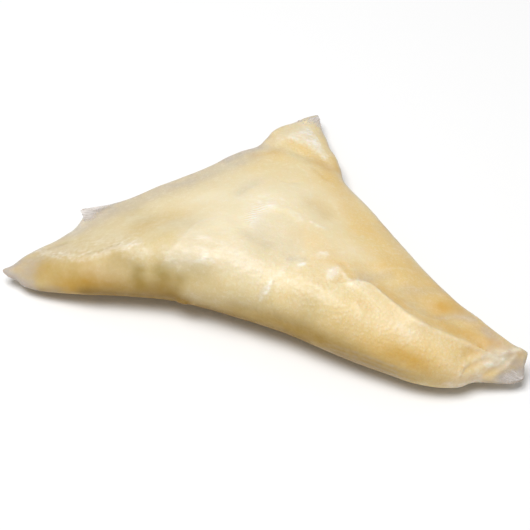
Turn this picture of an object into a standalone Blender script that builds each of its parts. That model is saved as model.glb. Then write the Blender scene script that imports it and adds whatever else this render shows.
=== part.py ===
"""A spanakopita triangle: a strip of phyllo folded over and over, like a flag, round a spinach filling.

The packet lies flat. Its long side, along X, is the closed fold. The two legs meet at the apex, at +Y.
The filling stops short of the three corners, so the phyllo lies thin there: a pointed tail at -X, a
rolled mouth at +X, and a flat wing at the apex. Sizes are metres, and +Z is up.
"""

import math
from collections import namedtuple

import bmesh
import bpy
import numpy as np
from mathutils import Vector, noise

# Driving sizes
PACKET_HEIGHT = 0.0235  # from the surface it rests on to the crown of the filling
CROWN_OVER_OUTLINE = 0.0175  # where the roof levels off, over the height of the outline
ROOF_SHARPNESS = 4.5  # how crisply the slopes meet along the ridges
UNDERSIDE_REACH = 0.005  # how much further in than its own height an edge leaves the surface below
THICK_SIDE = 0.008  # a side this round on top is round underneath as well
LUMP_HEIGHT = 0.0007  # the filling's unevenness, as it shows through the sheets
LUMP_SPACING = 0.016
LUMP_SEED = Vector((3.1, 7.7, 1.3))
CELLS = 66  # of mesh along each side of the triangle
CELL_GROWTH = 1.4  # over 1, the cells are smaller near the outline, where the surface turns most
STRETCH_POINTS = 64
OUTLINE_WELD = 0.00002

# A point of the outline in the plan. lift is the outline's height there, side_radius the roundness of
# the side above it, and slope the rise of the roof beyond that round.
Knot = namedtuple("Knot", "x y lift side_radius slope")

TAIL_TIP = Knot(-0.0703, -0.0330, 0.0040, 0.0005, 0.60)
MOUTH_LOW = Knot(0.0703, -0.0356, 0.0030, 0.0004, 0.50)
MOUTH_HIGH = Knot(0.0700, -0.0300, 0.0070, 0.0010, 0.55)
APEX_TIP = Knot(-0.0004, 0.0431, 0.0040, 0.0005, 0.25)
WISP_TIP = Knot(-0.0564, -0.0073, 0.0042, 0.0004, 0.40)

FRONT_FOLD = (
    TAIL_TIP,
    Knot(-0.0645, -0.0359, 0.0032, 0.0008, 0.70),
    Knot(-0.0580, -0.0368, 0.0035, 0.0018, 0.85),
    Knot(-0.0460, -0.0366, 0.0060, 0.0048, 0.65),
    Knot(-0.0350, -0.0353, 0.0078, 0.0080, 0.45),
    Knot(-0.0220, -0.0344, 0.0090, 0.0100, 0.35),
    Knot(-0.0080, -0.0356, 0.0090, 0.0105, 0.30),
    Knot(0.0086, -0.0380, 0.0088, 0.0102, 0.28),
    Knot(0.0200, -0.0405, 0.0080, 0.0092, 0.30),
    Knot(0.0320, -0.0427, 0.0070, 0.0078, 0.34),
    Knot(0.0430, -0.0441, 0.0058, 0.0065, 0.38),
    Knot(0.0520, -0.0432, 0.0048, 0.0050, 0.42),
    Knot(0.0582, -0.0397, 0.0042, 0.0025, 0.50),
    Knot(0.0635, -0.0384, 0.0034, 0.0008, 0.60),
    MOUTH_LOW,
)
MOUTH = (
    MOUTH_LOW,
    Knot(0.0696, -0.0330, 0.0050, 0.0008, 0.52),
    MOUTH_HIGH,
)
RIGHT_LEG = (
    MOUTH_HIGH,
    Knot(0.0664, -0.0299, 0.0074, 0.0016, 0.48),
    Knot(0.0618, -0.0276, 0.0076, 0.0022, 0.46),
    Knot(0.0450, -0.0144, 0.0066, 0.0030, 0.50),
    Knot(0.0318, -0.0021, 0.0064, 0.0034, 0.52),
    Knot(0.0222, 0.0077, 0.0062, 0.0034, 0.52),
    Knot(0.0134, 0.0158, 0.0058, 0.0028, 0.48),
    Knot(0.0093, 0.0236, 0.0052, 0.0018, 0.36),
    Knot(0.0041, 0.0319, 0.0048, 0.0014, 0.28),
    APEX_TIP,
)
LEFT_LEG = (
    APEX_TIP,
    Knot(-0.0036, 0.0409, 0.0042, 0.0005, 0.25),
    Knot(-0.0071, 0.0365, 0.0046, 0.0010, 0.28),
    Knot(-0.0104, 0.0317, 0.0050, 0.0010, 0.34),
    Knot(-0.0131, 0.0262, 0.0052, 0.0010, 0.40),
    Knot(-0.0238, 0.0164, 0.0050, 0.0014, 0.46),
    Knot(-0.0363, 0.0050, 0.0046, 0.0014, 0.48),
    Knot(-0.0456, -0.0022, 0.0042, 0.0010, 0.46),
    Knot(-0.0519, -0.0058, 0.0042, 0.0006, 0.42),
    WISP_TIP,
)
TAIL_LEG = (
    WISP_TIP,
    Knot(-0.0548, -0.0108, 0.0042, 0.0008, 0.45),
    Knot(-0.0584, -0.0187, 0.0042, 0.0008, 0.50),
    Knot(-0.0636, -0.0256, 0.0042, 0.0006, 0.52),
    TAIL_TIP,
)
# The three sides of the triangle, in turn from the tail: each one's stretches, with the cells along them
SIDES = (
    ((FRONT_FOLD, CELLS),),
    ((MOUTH, 8), (RIGHT_LEG, CELLS - 8)),
    ((LEFT_LEG, CELLS - 20), (TAIL_LEG, 20)),
)

# A soft swelling (height over zero) or hollow (under zero) of the upper surface, along a line in the plan.
Relief = namedtuple("Relief", "start end width height")

RELIEFS = (
    # The sheet has sunk between two lumps of filling, just behind the front shoulder.
    Relief((0.0020, -0.0150), (0.0085, -0.0190), 0.0075, -0.0011),
    Relief((0.0085, -0.0050), (0.0130, -0.0060), 0.0050, -0.0007),
    # The last fold ends in a raised edge along the right of the shoulder, with a valley behind it.
    Relief((0.0230, -0.0270), (0.0420, -0.0332), 0.0030, 0.0007),
    Relief((0.0420, -0.0332), (0.0590, -0.0330), 0.0025, 0.0007),
    Relief((0.0270, -0.0205), (0.0420, -0.0270), 0.0038, -0.0010),
    Relief((0.0420, -0.0270), (0.0600, -0.0292), 0.0030, -0.0007),
    # The filling swells the left half of the shoulder, and the fold puckers under it.
    Relief((-0.0240, -0.0235), (-0.0100, -0.0240), 0.0070, 0.0008),
    Relief((-0.0330, -0.0320), (-0.0240, -0.0318), 0.0032, -0.0010),
    # The sheets fold down where the filling ends and lie flat out to the apex.
    Relief((-0.0115, 0.0262), (-0.0010, 0.0225), 0.0026, -0.0009),
    Relief((-0.0010, 0.0225), (0.0085, 0.0205), 0.0026, -0.0009),
    Relief((-0.0050, 0.0310), (0.0025, 0.0290), 0.0040, 0.0006),
    # Broad hollows run up from the two long sides.
    Relief((-0.0400, -0.0080), (-0.0280, -0.0130), 0.0060, -0.0007),
    Relief((0.0330, -0.0110), (0.0420, -0.0190), 0.0045, -0.0005),
)


def clear_scene():
    for obj in list(bpy.data.objects):
        bpy.data.objects.remove(obj, do_unlink=True)


def smooth_line(knots):
    """Evenly spaced rows of x, y, lift, side_radius and slope along a smooth curve through the knots."""
    knots = np.array(knots)
    before = 2 * knots[0] - knots[1]
    after = 2 * knots[-1] - knots[-2]
    padded = np.vstack([before, knots, after])
    share = np.linspace(0, 1, 12, endpoint=False)[:, None]
    rows = []
    for a, b, c, d in zip(padded, padded[1:], padded[2:], padded[3:]):
        rows.append(
            b
            + 0.5 * share * (c - a)
            + share**2 * (a - 2.5 * b + 2 * c - 0.5 * d)
            + share**3 * (1.5 * (b - c) + 0.5 * (d - a))
        )
    rows = np.vstack([*rows, knots[-1:]])
    steps = np.linalg.norm(np.diff(rows[:, :2], axis=0), axis=1)
    along = np.concatenate([[0], np.cumsum(steps)])
    wanted = np.linspace(0, along[-1], STRETCH_POINTS)
    return np.column_stack([np.interp(wanted, along, column) for column in rows.T])


def crowded(share):
    """A share of the way along a side, moved towards the nearer end."""
    return share**CELL_GROWTH / (share**CELL_GROWTH + (1 - share) ** CELL_GROWTH)


def whole_side(stretches):
    """A side's points with the share of the way along at which each comes, so that a corner gets a vertex."""
    ends = crowded(np.cumsum([0] + [cells for _, cells in stretches]) / CELLS)
    shares = [np.linspace(a, b, STRETCH_POINTS) for a, b in zip(ends, ends[1:])]
    return np.concatenate(shares), np.vstack([smooth_line(knots)[:, :2] for knots, _ in stretches])


def plan_of(shares):
    """Where the grid's vertices lie in the plan: its three straight sides are bent to the outline's."""
    front, right, left = [whole_side(side) for side in SIDES]

    def at(side, share):
        return np.column_stack([np.interp(share, side[0], values) for values in side[1].T])

    shares = shares**CELL_GROWTH
    tail, mouth, apex = (shares / shares.sum(1)[:, None]).T
    return (
        tail[:, None] * (at(front, mouth) + at(left, 1 - apex) - front[1][0])
        + mouth[:, None] * (at(right, apex) + at(front, 1 - tail) - right[1][0])
        + apex[:, None] * (at(left, tail) + at(right, 1 - mouth) - left[1][0])
    )


def distances(plan, starts, ends):
    """From each point of the plan to each straight piece, and the share of the piece at the nearest place."""
    step = ends - starts
    away = plan[:, None, :] - starts
    share = np.clip((away * step).sum(2) / ((step**2).sum(1) + 1e-12), 0, 1)
    return np.linalg.norm(away - share[..., None] * step, axis=2), share


def stretch_by(line, plan):
    """The distance from each point of the plan to a stretch of outline, and that stretch's values thereabouts."""
    gaps, share = distances(plan, line[:-1, :2], line[1:, :2])
    weight = 1 / (gaps**4 + 1e-16)
    weight /= weight.sum(1)[:, None]
    values = (weight * (1 - share)) @ line[:-1, 2:] + (weight * share) @ line[1:, 2:]
    return gaps.min(1), values.T


def soft_least(values):
    """The least of several heights, rounded off where two of them are alike."""
    values = np.maximum(np.array(values), 1e-7)
    return (values**-ROOF_SHARPNESS).sum(0) ** (-1 / ROOF_SHARPNESS)


def relief(plan):
    starts = np.array([r.start for r in RELIEFS])
    ends = np.array([r.end for r in RELIEFS])
    widths = np.array([r.width for r in RELIEFS])
    heights = np.array([r.height for r in RELIEFS])
    gaps, _ = distances(plan, starts, ends)
    lumps = [noise.noise(Vector((x, y, 0)) / LUMP_SPACING + LUMP_SEED) for x, y in plan]
    return np.exp(-((gaps / widths) ** 2)) @ heights + LUMP_HEIGHT * np.array(lumps)


def surfaces(plan):
    """The heights of the upper and the under surface over points of the plan."""
    near = [stretch_by(smooth_line(knots), plan) for side in SIDES for knots, _ in side]
    gaps = np.array([gap for gap, _ in near])
    values = np.array([values for _, values in near])
    weight = 1 / (gaps + 1e-6) ** 2
    lift, radius, _ = (values * weight[:, None]).sum(0) / weight.sum(0)
    roofs = []
    for gap, (_, side_radius, slope) in near:
        turned = 1 - np.minimum(gap / side_radius, 1)
        roofs.append(side_radius * np.sqrt(1 - turned**2) + slope * gap)
    height = soft_least([*roofs, np.full_like(lift, CROWN_OVER_OUTLINE)])
    upper = lift + height + relief(plan) * np.clip(height / 0.006, 0, 1)
    inward = 1 - np.minimum(gaps.min(0) / (lift + UNDERSIDE_REACH), 1)
    roundness = np.clip(radius / THICK_SIDE, 0, 1)
    under = lift * (roundness * (1 - np.sqrt(1 - inward**2)) + (1 - roundness) * inward**2)
    return upper, under


def build_packet():
    """Two triangular grids on one outline, the one up on the roof and the other down on the underside."""
    bm = bmesh.new()
    bm.faces.new([bm.verts.new(corner) for corner in ((1, 0, 0), (0, 1, 0), (0, 0, 1))])
    bmesh.ops.subdivide_edges(bm, edges=bm.edges[:], cuts=CELLS - 1, use_grid_fill=True)
    corners = [v for v in bm.verts if max(v.co) > 1 - 0.5 / CELLS]
    bmesh.ops.delete(bm, geom=corners, context="VERTS")  # the last cell of a corner would have no inside
    plan = plan_of(np.array([v.co for v in bm.verts]))
    upper, under = surfaces(plan)
    above = list(bm.verts)
    copy = bmesh.ops.duplicate(bm, geom=bm.verts[:] + bm.faces[:])
    bmesh.ops.reverse_faces(bm, faces=[f for f in copy["geom"] if isinstance(f, bmesh.types.BMFace)])
    grow = PACKET_HEIGHT / upper.max()
    for vert, (x, y), top, bottom in zip(above, plan, upper * grow, under * grow):
        vert.co = x, y, top
        copy["vert_map"][vert].co = x, y, bottom
    bmesh.ops.remove_doubles(bm, verts=bm.verts[:], dist=OUTLINE_WELD)
    low = [min(v.co[i] for v in bm.verts) for i in range(3)]
    high = [max(v.co[i] for v in bm.verts) for i in range(3)]
    middle = Vector(((low[0] + high[0]) / 2, (low[1] + high[1]) / 2, low[2]))
    bmesh.ops.translate(bm, verts=bm.verts[:], vec=-middle)
    mesh = bpy.data.meshes.new("phyllo_packet")
    bm.to_mesh(mesh)
    bm.free()
    mesh.shade_smooth()
    return bpy.data.objects.new("phyllo_packet", mesh)


def phyllo_material():
    material = bpy.data.materials.new("phyllo")
    material.use_nodes = True
    shader = material.node_tree.nodes["Principled BSDF"]
    shader.inputs["Base Color"].default_value = (0.80, 0.64, 0.36, 1)
    shader.inputs["Roughness"].default_value = 0.38
    shader.inputs["Metallic"].default_value = 0
    return material


def main():
    clear_scene()
    collection = bpy.data.collections.new("spanakopita_triangle")
    bpy.context.scene.collection.children.link(collection)
    packet = build_packet()
    packet.data.materials.append(phyllo_material())
    collection.objects.link(packet)


main()
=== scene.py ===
# %% [markdown]
# # A spanakopita triangle in soft, buttered phyllo
# The real thing is a strip of paper-thin dough, folded over and over like a flag round a spoon of spinach
# and cheese, and brushed with butter. It is pale and soft here, before the oven. Three things make it look
# real: the sheets follow the lumps below them, light passes into them, and their edges are thin enough to
# see through. So the scene has one dense skin for the packet, thin films for the loose edges, and a finish
# that knows where the filling is.

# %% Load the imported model
import math

import bmesh
import bpy
import numpy as np
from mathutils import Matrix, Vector, noise
from mathutils.bvhtree import BVHTree


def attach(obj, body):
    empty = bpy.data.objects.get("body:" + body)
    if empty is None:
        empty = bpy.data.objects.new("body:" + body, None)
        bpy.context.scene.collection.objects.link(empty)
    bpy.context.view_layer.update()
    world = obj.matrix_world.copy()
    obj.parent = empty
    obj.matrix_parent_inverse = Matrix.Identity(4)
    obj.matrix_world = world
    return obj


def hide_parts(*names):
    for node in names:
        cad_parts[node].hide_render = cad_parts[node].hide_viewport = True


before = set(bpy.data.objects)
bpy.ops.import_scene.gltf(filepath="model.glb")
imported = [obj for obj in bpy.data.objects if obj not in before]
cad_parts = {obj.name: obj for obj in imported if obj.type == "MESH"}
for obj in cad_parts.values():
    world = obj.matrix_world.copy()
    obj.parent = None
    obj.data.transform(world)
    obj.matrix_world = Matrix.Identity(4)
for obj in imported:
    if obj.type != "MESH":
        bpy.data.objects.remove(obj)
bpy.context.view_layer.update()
packet_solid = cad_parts["phyllo_packet"]
print("the packet's solid has", len(packet_solid.data.vertices), "vertices")

# %% [markdown]
# ## The camera
# The camera comes first, because details are placed by where they are seen. It looks down at 51 degrees,
# and stands a little to the right of the long fold. A long lens keeps the far side from looking smaller.

# %% Set up the camera
PHOTO_SIDE = 530  # pixels
SENSOR, LENS = 36, 120  # mm
AZIMUTH, ELEVATION = math.radians(13.52), math.radians(51)
DISTANCE = 0.480
LOOK_AT = Vector((-0.00336, -0.01063, 0))

camera = bpy.data.objects.new("camera", bpy.data.cameras.new("camera"))
bpy.context.scene.collection.objects.link(camera)
toward_camera = Vector(
    (
        math.sin(AZIMUTH) * math.cos(ELEVATION),
        -math.cos(AZIMUTH) * math.cos(ELEVATION),
        math.sin(ELEVATION),
    )
)
camera.location = LOOK_AT + DISTANCE * toward_camera
camera.rotation_euler = toward_camera.to_track_quat("Z", "Y").to_euler()
camera.data.lens = LENS
camera.data.sensor_width = SENSOR
camera.data.clip_start = 0.01
bpy.context.scene.camera = camera
bpy.context.view_layer.update()
print("the camera is at", [round(v, 3) for v in camera.location])


# %% [markdown]
# ## The skin
# The solid has the packet's form, in cells of two or three millimetres. Creases need a finer mesh.
# Subdividing would keep the solid's long flat triangles below, so a voxel remesh makes even, square cells
# instead. It leaves small steps, and the solid's flat cells still show. Averaging each point with its
# neighbours takes both away. It also shrinks the form, so what a second averaging would take is given back.

# %% Remesh the solid into a fine skin
SKIN_VOXEL = 0.00036


def applied(obj):
    """The object with its modifiers made real."""
    graph = bpy.context.evaluated_depsgraph_get()
    mesh = bpy.data.meshes.new_from_object(obj.evaluated_get(graph))
    obj.modifiers.clear()
    obj.data = mesh
    return obj


def new_piece(name, mesh):
    obj = bpy.data.objects.new(name, mesh)
    bpy.context.scene.collection.objects.link(obj)
    return obj


def points_of(mesh):
    points = np.zeros(len(mesh.vertices) * 3)
    mesh.vertices.foreach_get("co", points)
    return points.reshape(-1, 3)


def move_points(mesh, points):
    mesh.vertices.foreach_set("co", points.ravel())
    mesh.update()


skin = new_piece("phyllo_skin", packet_solid.data.copy())
weld = skin.modifiers.new("weld", "WELD")
weld.merge_threshold = 0.00001
remesh = skin.modifiers.new("remesh", "REMESH")
remesh.mode = "VOXEL"
remesh.voxel_size = SKIN_VOXEL
applied(skin)
print("the skin has", len(skin.data.polygons), "faces")

# %% Measure how thick the packet is below each point
INWARD = 0.0005  # a ray starts this far below the skin


def normals_of(mesh):
    normals = np.zeros(len(mesh.vertices) * 3)
    mesh.vertex_normals.foreach_get("vector", normals)
    return normals.reshape(-1, 3)


def tree_of(mesh):
    return BVHTree.FromPolygons([v.co for v in mesh.vertices], [p.vertices for p in mesh.polygons])


def thickness_of(mesh, tree):
    """The packet's height, straight up and down, through each point."""
    thick = np.zeros(len(mesh.vertices))
    for i, start in enumerate(points_of(mesh) - INWARD * normals_of(mesh)):
        for way in (Vector((0, 0, 1)), Vector((0, 0, -1))):
            thick[i] += tree.ray_cast(Vector(start), way)[3] or 0
    return thick


thick = thickness_of(skin.data, tree_of(skin.data))
print("the packet is up to", round(1000 * float(thick.max()), 1), "mm thick")

# %% Smooth the skin
FINE_ROUNDS, BROAD_ROUNDS = 6, 42
THIN_RIM, FULL_BODY = 0.0025, 0.0065  # the thin rims get the fine smoothing alone

edges = np.zeros(len(skin.data.edges) * 2, dtype=int)
skin.data.edges.foreach_get("vertices", edges)
ends = np.concatenate([edges[0::2], edges[1::2]])
others = np.concatenate([edges[1::2], edges[0::2]])


def averaged(values, rounds):
    """Each point's value moved halfway to its neighbours' mean, several times."""
    neighbours = np.bincount(ends)
    for _ in range(rounds):
        sums = np.array([np.bincount(ends, column[others]) for column in values.T]).T
        values = (values + sums / neighbours[:, None]) / 2
    return values


def evened(points, rounds):
    """averaged, with what it took off the form given back."""
    once = averaged(points, rounds)
    return 2 * once - averaged(once, rounds)


body = np.clip((averaged(thick[:, None], FINE_ROUNDS) - THIN_RIM) / (FULL_BODY - THIN_RIM), 0, 1)
fine = evened(points_of(skin.data), FINE_ROUNDS)
move_points(skin.data, fine + body * (evened(fine, BROAD_ROUNDS) - fine))
print("the body is", round(100 * float(body.mean())), "% of the skin")

# %% [markdown]
# ## Finding places on the skin
# Every detail is a rule on the skin's points, so they are kept as arrays with one row for each point. A
# detail is given by where it is seen, in the photo's pixels. A ray from the camera finds the place on the
# skin, and from then on it is a place in space, which stays put when the camera moves.

# %% Read the skin into arrays
skin_tree = tree_of(skin.data)
places = points_of(skin.data)
outward = normals_of(skin.data)
print("the skin has", len(places), "points")

# %% Find the place that is seen at a pixel
SEARCH_PIXELS = 7  # a place just off the skin is looked for this far round it


def ray_through(px, py):
    """The direction from the camera through a pixel of the photo."""
    per_pixel = SENSOR / LENS / PHOTO_SIDE
    across, down = (px - PHOTO_SIDE / 2) * per_pixel, (py - PHOTO_SIDE / 2) * per_pixel
    return (camera.matrix_world.to_3x3() @ Vector((across, -down, -1))).normalized()


def spot(px, py):
    """The place on the skin that is seen at a pixel, or at the closest pixel round it that shows the skin."""
    for radius in range(SEARCH_PIXELS):
        for turn in range(8):
            across, down = radius * math.cos(turn * math.pi / 4), radius * math.sin(turn * math.pi / 4)
            hit = skin_tree.ray_cast(camera.location, ray_through(px + across, py + down))[0]
            if hit is not None:
                return hit
    raise ValueError(f"pixel {px}, {py} is far from the packet")


def trace(*pixels, step=3):
    """A line on the skin through several pixels, with a point about every few pixels."""
    line = [spot(*pixels[0])]
    for (x0, y0), (x1, y1) in zip(pixels, pixels[1:]):
        count = max(1, round(math.hypot(x1 - x0, y1 - y0) / step))
        for i in range(1, count + 1):
            line.append(spot(x0 + (x1 - x0) * i / count, y0 + (y1 - y0) * i / count))
    return np.array(line)


print("the crown is seen at", [round(v, 4) for v in spot(240, 225)])

# %% Measure from a line


def gap_from(line, reach):
    """Each point's distance from a line, infinite beyond reach, and its side: 1 is right, -1 is left."""
    gap, side = np.full(len(places), np.inf), np.ones(len(places))
    close = np.all((places > line.min(axis=0) - reach) & (places < line.max(axis=0) + reach), axis=1)
    for start, end in zip(line, line[1:] if len(line) > 1 else line):
        along = end - start
        share = np.clip((places[close] - start) @ along / max(along @ along, 1e-12), 0, 1)
        offset = places[close] - start - share[:, None] * along
        distance = np.linalg.norm(offset, axis=1)
        turned = np.sign(np.einsum("ij,ij->i", np.cross(offset, along), outward[close]))
        nearer = distance < gap[close]
        gap[close] = np.where(nearer, distance, gap[close])
        side[close] = np.where(nearer & (turned != 0), turned, side[close])
    return gap, side


def ease(value, low, high):
    """0 at low and 1 at high, with a soft start and end."""
    t = np.clip((value - low) / (high - low), 0, 1)
    return t * t * (3 - 2 * t)


def band(gap, middle, width):
    """1 where the gap is at the middle, falling softly to 0 within about two widths."""
    return np.exp(-(((gap - middle) / width) ** 2))


def near(width, *pixels):
    """1 on the line or place seen at the pixels, falling softly to 0 within about two widths."""
    return band(gap_from(trace(*pixels), 3 * width)[0], 0, width)


def lip(width, crisp, *pixels):
    """near, but with a crisp end on the line's right side, like the lit lip of a fold."""
    gap, side = gap_from(trace(*pixels), 3 * width)
    return band(gap, 0, np.where(side < 0, width, crisp))


print("a band is", round(float(band(0.001, 0, 0.001)), 2), "strong at its width")

# %% Break up smooth marks


def ripples(spacing, seed, stretch=(1, 1, 1), turn=0):
    """Smooth noise over the skin, about -1 to 1. turn is the plan angle of its first axis, in degrees."""
    c, s = math.cos(math.radians(turn)), math.sin(math.radians(turn))
    turned = places @ np.array([[c, -s, 0], [s, c, 0], [0, 0, 1]])
    shift = Vector((seed, seed * 1.7, seed * 2.3))
    return np.array([noise.noise(Vector(p) + shift) for p in turned / (np.array(stretch) * spacing)])


def creased(spacing, seed, stretch=(1, 1, 1), turn=0):
    """ripples with sharp tops, like crinkled paper."""
    return 1 - 2 * np.abs(ripples(spacing, seed, stretch, turn))


ragged = 1 + 0.25 * ripples(0.0035, 5) + 0.15 * ripples(0.0014, 9)
flecked = np.clip(0.8 + 0.9 * ripples(0.0010, 17), 0.2, 1.5)


def stain(width, *pixels):
    """near, with the ragged edge of something that has soaked in."""
    return band(gap_from(trace(*pixels), 4 * width)[0] * ragged, 0, width)


print("a stain's edge wanders by", round(float(ragged.std()), 2), "of its width")

# %% Find what lies inside a patch
to_camera = np.array(camera.matrix_world.inverted())
seen = places @ to_camera[:3, :3].T + to_camera[:3, 3]
seen_x = PHOTO_SIDE * (0.5 - seen[:, 0] / seen[:, 2] * LENS / SENSOR)
seen_y = PHOTO_SIDE * (0.5 + seen[:, 1] / seen[:, 2] * LENS / SENSOR)
in_view = outward @ np.array(toward_camera) > 0


def patch(soft, *corners):
    """1 inside a patch with its corners seen at the pixels, and 0 outside, with an edge this soft."""
    inside = np.zeros(len(places), dtype=bool)
    for (x0, y0), (x1, y1) in zip(corners, corners[1:] + corners[:1]):
        crossed = (y0 > seen_y) != (y1 > seen_y)
        inside ^= crossed & (seen_x < x0 + (seen_y - y0) * (x1 - x0) / (y1 - y0 or 1))
    gap = gap_from(trace(*corners, corners[0]), 2 * soft)[0]
    return ease(np.where(inside & in_view, gap, -gap), -soft, soft)


print(int(in_view.sum()), "points face the camera")

# %% [markdown]
# ## The outline
# The solid's outline is a smooth curve through its knots, and the real one has small corners, where a sheet
# ends or a fold turns. Each nudge below takes a place on the outline and pulls the skin round it a little,
# in the plane of the picture. Only the corners change: none of them moves by more than a millimetre.

# %% Nudge the outline
NUDGES = (
    # from pixel, to pixel, reach in metres
    ((276, 135), (273.5, 132.5), 0.0032),
    ((287, 129), (286, 127), 0.0030),
    ((267, 142), (265.5, 140.5), 0.0022),
    ((243, 153.5), (242.5, 151.5), 0.0035),
    ((228, 159), (227.5, 157.5), 0.0030),
    ((324, 140), (326, 139), 0.0035),
    ((332, 157), (334.5, 156), 0.0035),
    ((339, 171), (340.5, 170), 0.0025),
    ((28, 257), (27, 255), 0.0035),
    ((44, 248), (43, 246.5), 0.0035),
    ((77, 228), (78.5, 230), 0.0028),
    ((476, 320), (477.5, 318), 0.0045),
    ((492, 335), (494, 333), 0.0045),
    ((506, 346), (508, 344.5), 0.0035),
    ((522, 355), (525, 354), 0.0030),
    ((519, 372), (521.5, 371), 0.0030),
    ((512, 382), (513, 384), 0.0025),
    ((460, 385), (461, 386.5), 0.0028),
    ((8, 275), (5, 274), 0.0022),
    ((15, 281), (15.5, 279.5), 0.0018),
    ((12, 267), (12.5, 268.5), 0.0020),
    ((183, 301), (183.5, 303.5), 0.0014),
    ((160, 187.5), (159.4, 186.2), 0.0070),
)
for start, end, reach in NUDGES:
    place = spot(*start)
    depth = (place - camera.location).dot(-toward_camera)
    pull = (ray_through(*end) - ray_through(*start)) * depth
    pulled_along = band(gap_from(np.array([place]), 3 * reach)[0], 0, reach)
    places += pulled_along[:, None] * np.array(pull)
move_points(skin.data, places)
skin_tree = tree_of(skin.data)
outward = normals_of(skin.data)
print("the outline has", len(NUDGES), "nudges")

# %% [markdown]
# ## What each region adds
# Phyllo is thin, so it shows every fold below it as a soft line, and crumples where it was pressed. Lines
# like these could be bump in the material. Real height is better here, because it catches light from any
# side. Each region below adds to one height and to a few tints, which the material reads later: pale and
# white for dry sheets and for painted highlights, butter and tan for soaked ones, olive where the filling
# shows, and sheer where light comes through.
#
# A region's marks are lists of strokes, one list for each thing that they are brushed onto. A stroke has an
# amount, a shape, its width in metres, and the pixels that it runs through. In a relief, amounts are metres
# too: over zero stands up, and below zero is pressed in.

# %% Start with a flat height and no tints
height, pale_and_highlight, dry_white_and_highlight, butter, tan, olive, sheer, gloss, ribs_and_highlight = np.zeros((9, len(places)))
facing_up = ease(outward[:, 2], -0.2, 0.3)
facing_camera = outward @ np.array(toward_camera)  # 0 on the outline, below 0 on the sides turned away


def brush(onto, strokes, grain=1):
    """Adds strokes to the height or to a tint, in place. A grain breaks them up."""
    for amount, shape, *where in strokes:
        onto += amount * grain * shape(*where)


print("there are", len(places), "heights to set")

# %% [markdown]
# ### The last fold's edge
# The strip's last turn ends in an edge that runs from the crumple to the mouth. In front of it lies one
# sheet more, so the front is a step higher. The sheets behind it cling to each other and look like wet
# paper.

# %% Find the last fold's edge
FOLD_EDGE = (
    (348, 281), (354, 280), (364, 280.5), (372, 284.5), (380, 291), (388, 297.5), (396, 303.8), (405, 310.8),
    (414, 317), (424, 323), (433, 328), (441, 330.5), (448, 334), (457, 338), (466, 341), (476, 346),
)
FOLD_BEGINS = ((345, 281), (378, 290))  # the step comes up between these pixels
edge_gap, edge_side = gap_from(trace(*FOLD_EDGE), 0.02)
in_front = edge_gap * edge_side  # over zero in front of the edge
begun = ease(places[:, 0], *(spot(*pixel)[0] for pixel in FOLD_BEGINS))
print("the fold's edge touches", int((edge_gap < 0.002).sum()), "points")

# %% Raise and tint the fold's edge
EDGE_PALE = (  # dry sheet before the mouth
    (0.35, near, 0.0018, (464, 341), (478, 344), (492, 350)),
)
EDGE_TAN = (  # butter gathered along the step
    (0.10, near, 0.0036, (392, 312), (404, 321), (418, 329)),
    (0.20, near, 0.0016, (492, 344), (502, 347)),
)
STEP, STEP_REACH = 0.00034, 0.009  # one more layer, which fades out towards the front
lit_line = band(in_front, 0.0006, 0.0007)  # the sheet's edge itself catches the light
valley = band(in_front, -0.0013, 0.0012)
step_up = ease(in_front, -0.0005, 0.0005) * band(np.maximum(in_front, 0), 0, STEP_REACH)
height += STEP * begun * step_up * facing_up
height += 0.00018 * lit_line
height -= 0.00022 * valley
# painted highlight along the edge's lit line
dry_white_and_highlight += 0.24 * flecked * lit_line
pale_and_highlight += 0.50 * lit_line * begun
pale_and_highlight += 0.20 * band(in_front, 0.0030, 0.0030) * begun
# painted shadow in the valley behind the edge
sheer += 0.06 * band(in_front, -0.0012, 0.0012) * begun
tan += 0.24 * band(in_front, -0.0020, 0.0028)
tan += 0.18 * band(in_front, -0.0014, 0.0012) * begun
brush(pale_and_highlight, EDGE_PALE)
brush(tan, EDGE_TAN)
print("the step is", round(1000 * STEP, 2), "mm high")

# %% [markdown]
# The slope behind it has soft orange stains, and greyish bands where the wet sheets part. Low, long ridges
# run along the bands.

# %% Pull the sheets along the slope
SLOPE_RELIEF = (  # long, low ridges where the wet sheets part
    (0.00005, near, 0.0007, (360, 263), (376, 259), (392, 258)),
    (0.00005, near, 0.0007, (380, 268), (396, 266), (412, 270)),
    (0.00005, near, 0.0007, (404, 289), (420, 286), (434, 289)),
    (0.00005, near, 0.0007, (436, 321), (452, 316), (472, 319)),
    (0.00005, near, 0.0007, (444, 326), (462, 322), (480, 325)),
)
behind = ease(-in_front, 0.0005, 0.004) * (1 - ease(edge_gap, 0.008, 0.015))
pulled = ripples(0.0020, 31, (5, 1, 1), turn=25)
height += 0.00005 * pulled * behind
height += 0.00003 * ripples(0.0010, 33, (5, 1, 1), turn=22) * behind
sheer += 0.09 * np.clip(pulled, 0, 1) * behind
tan += 0.16 * np.clip(-pulled, 0, 1) * behind
brush(height, SLOPE_RELIEF)
print("the pull shows on", int((behind > 0.5).sum()), "points")

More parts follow.
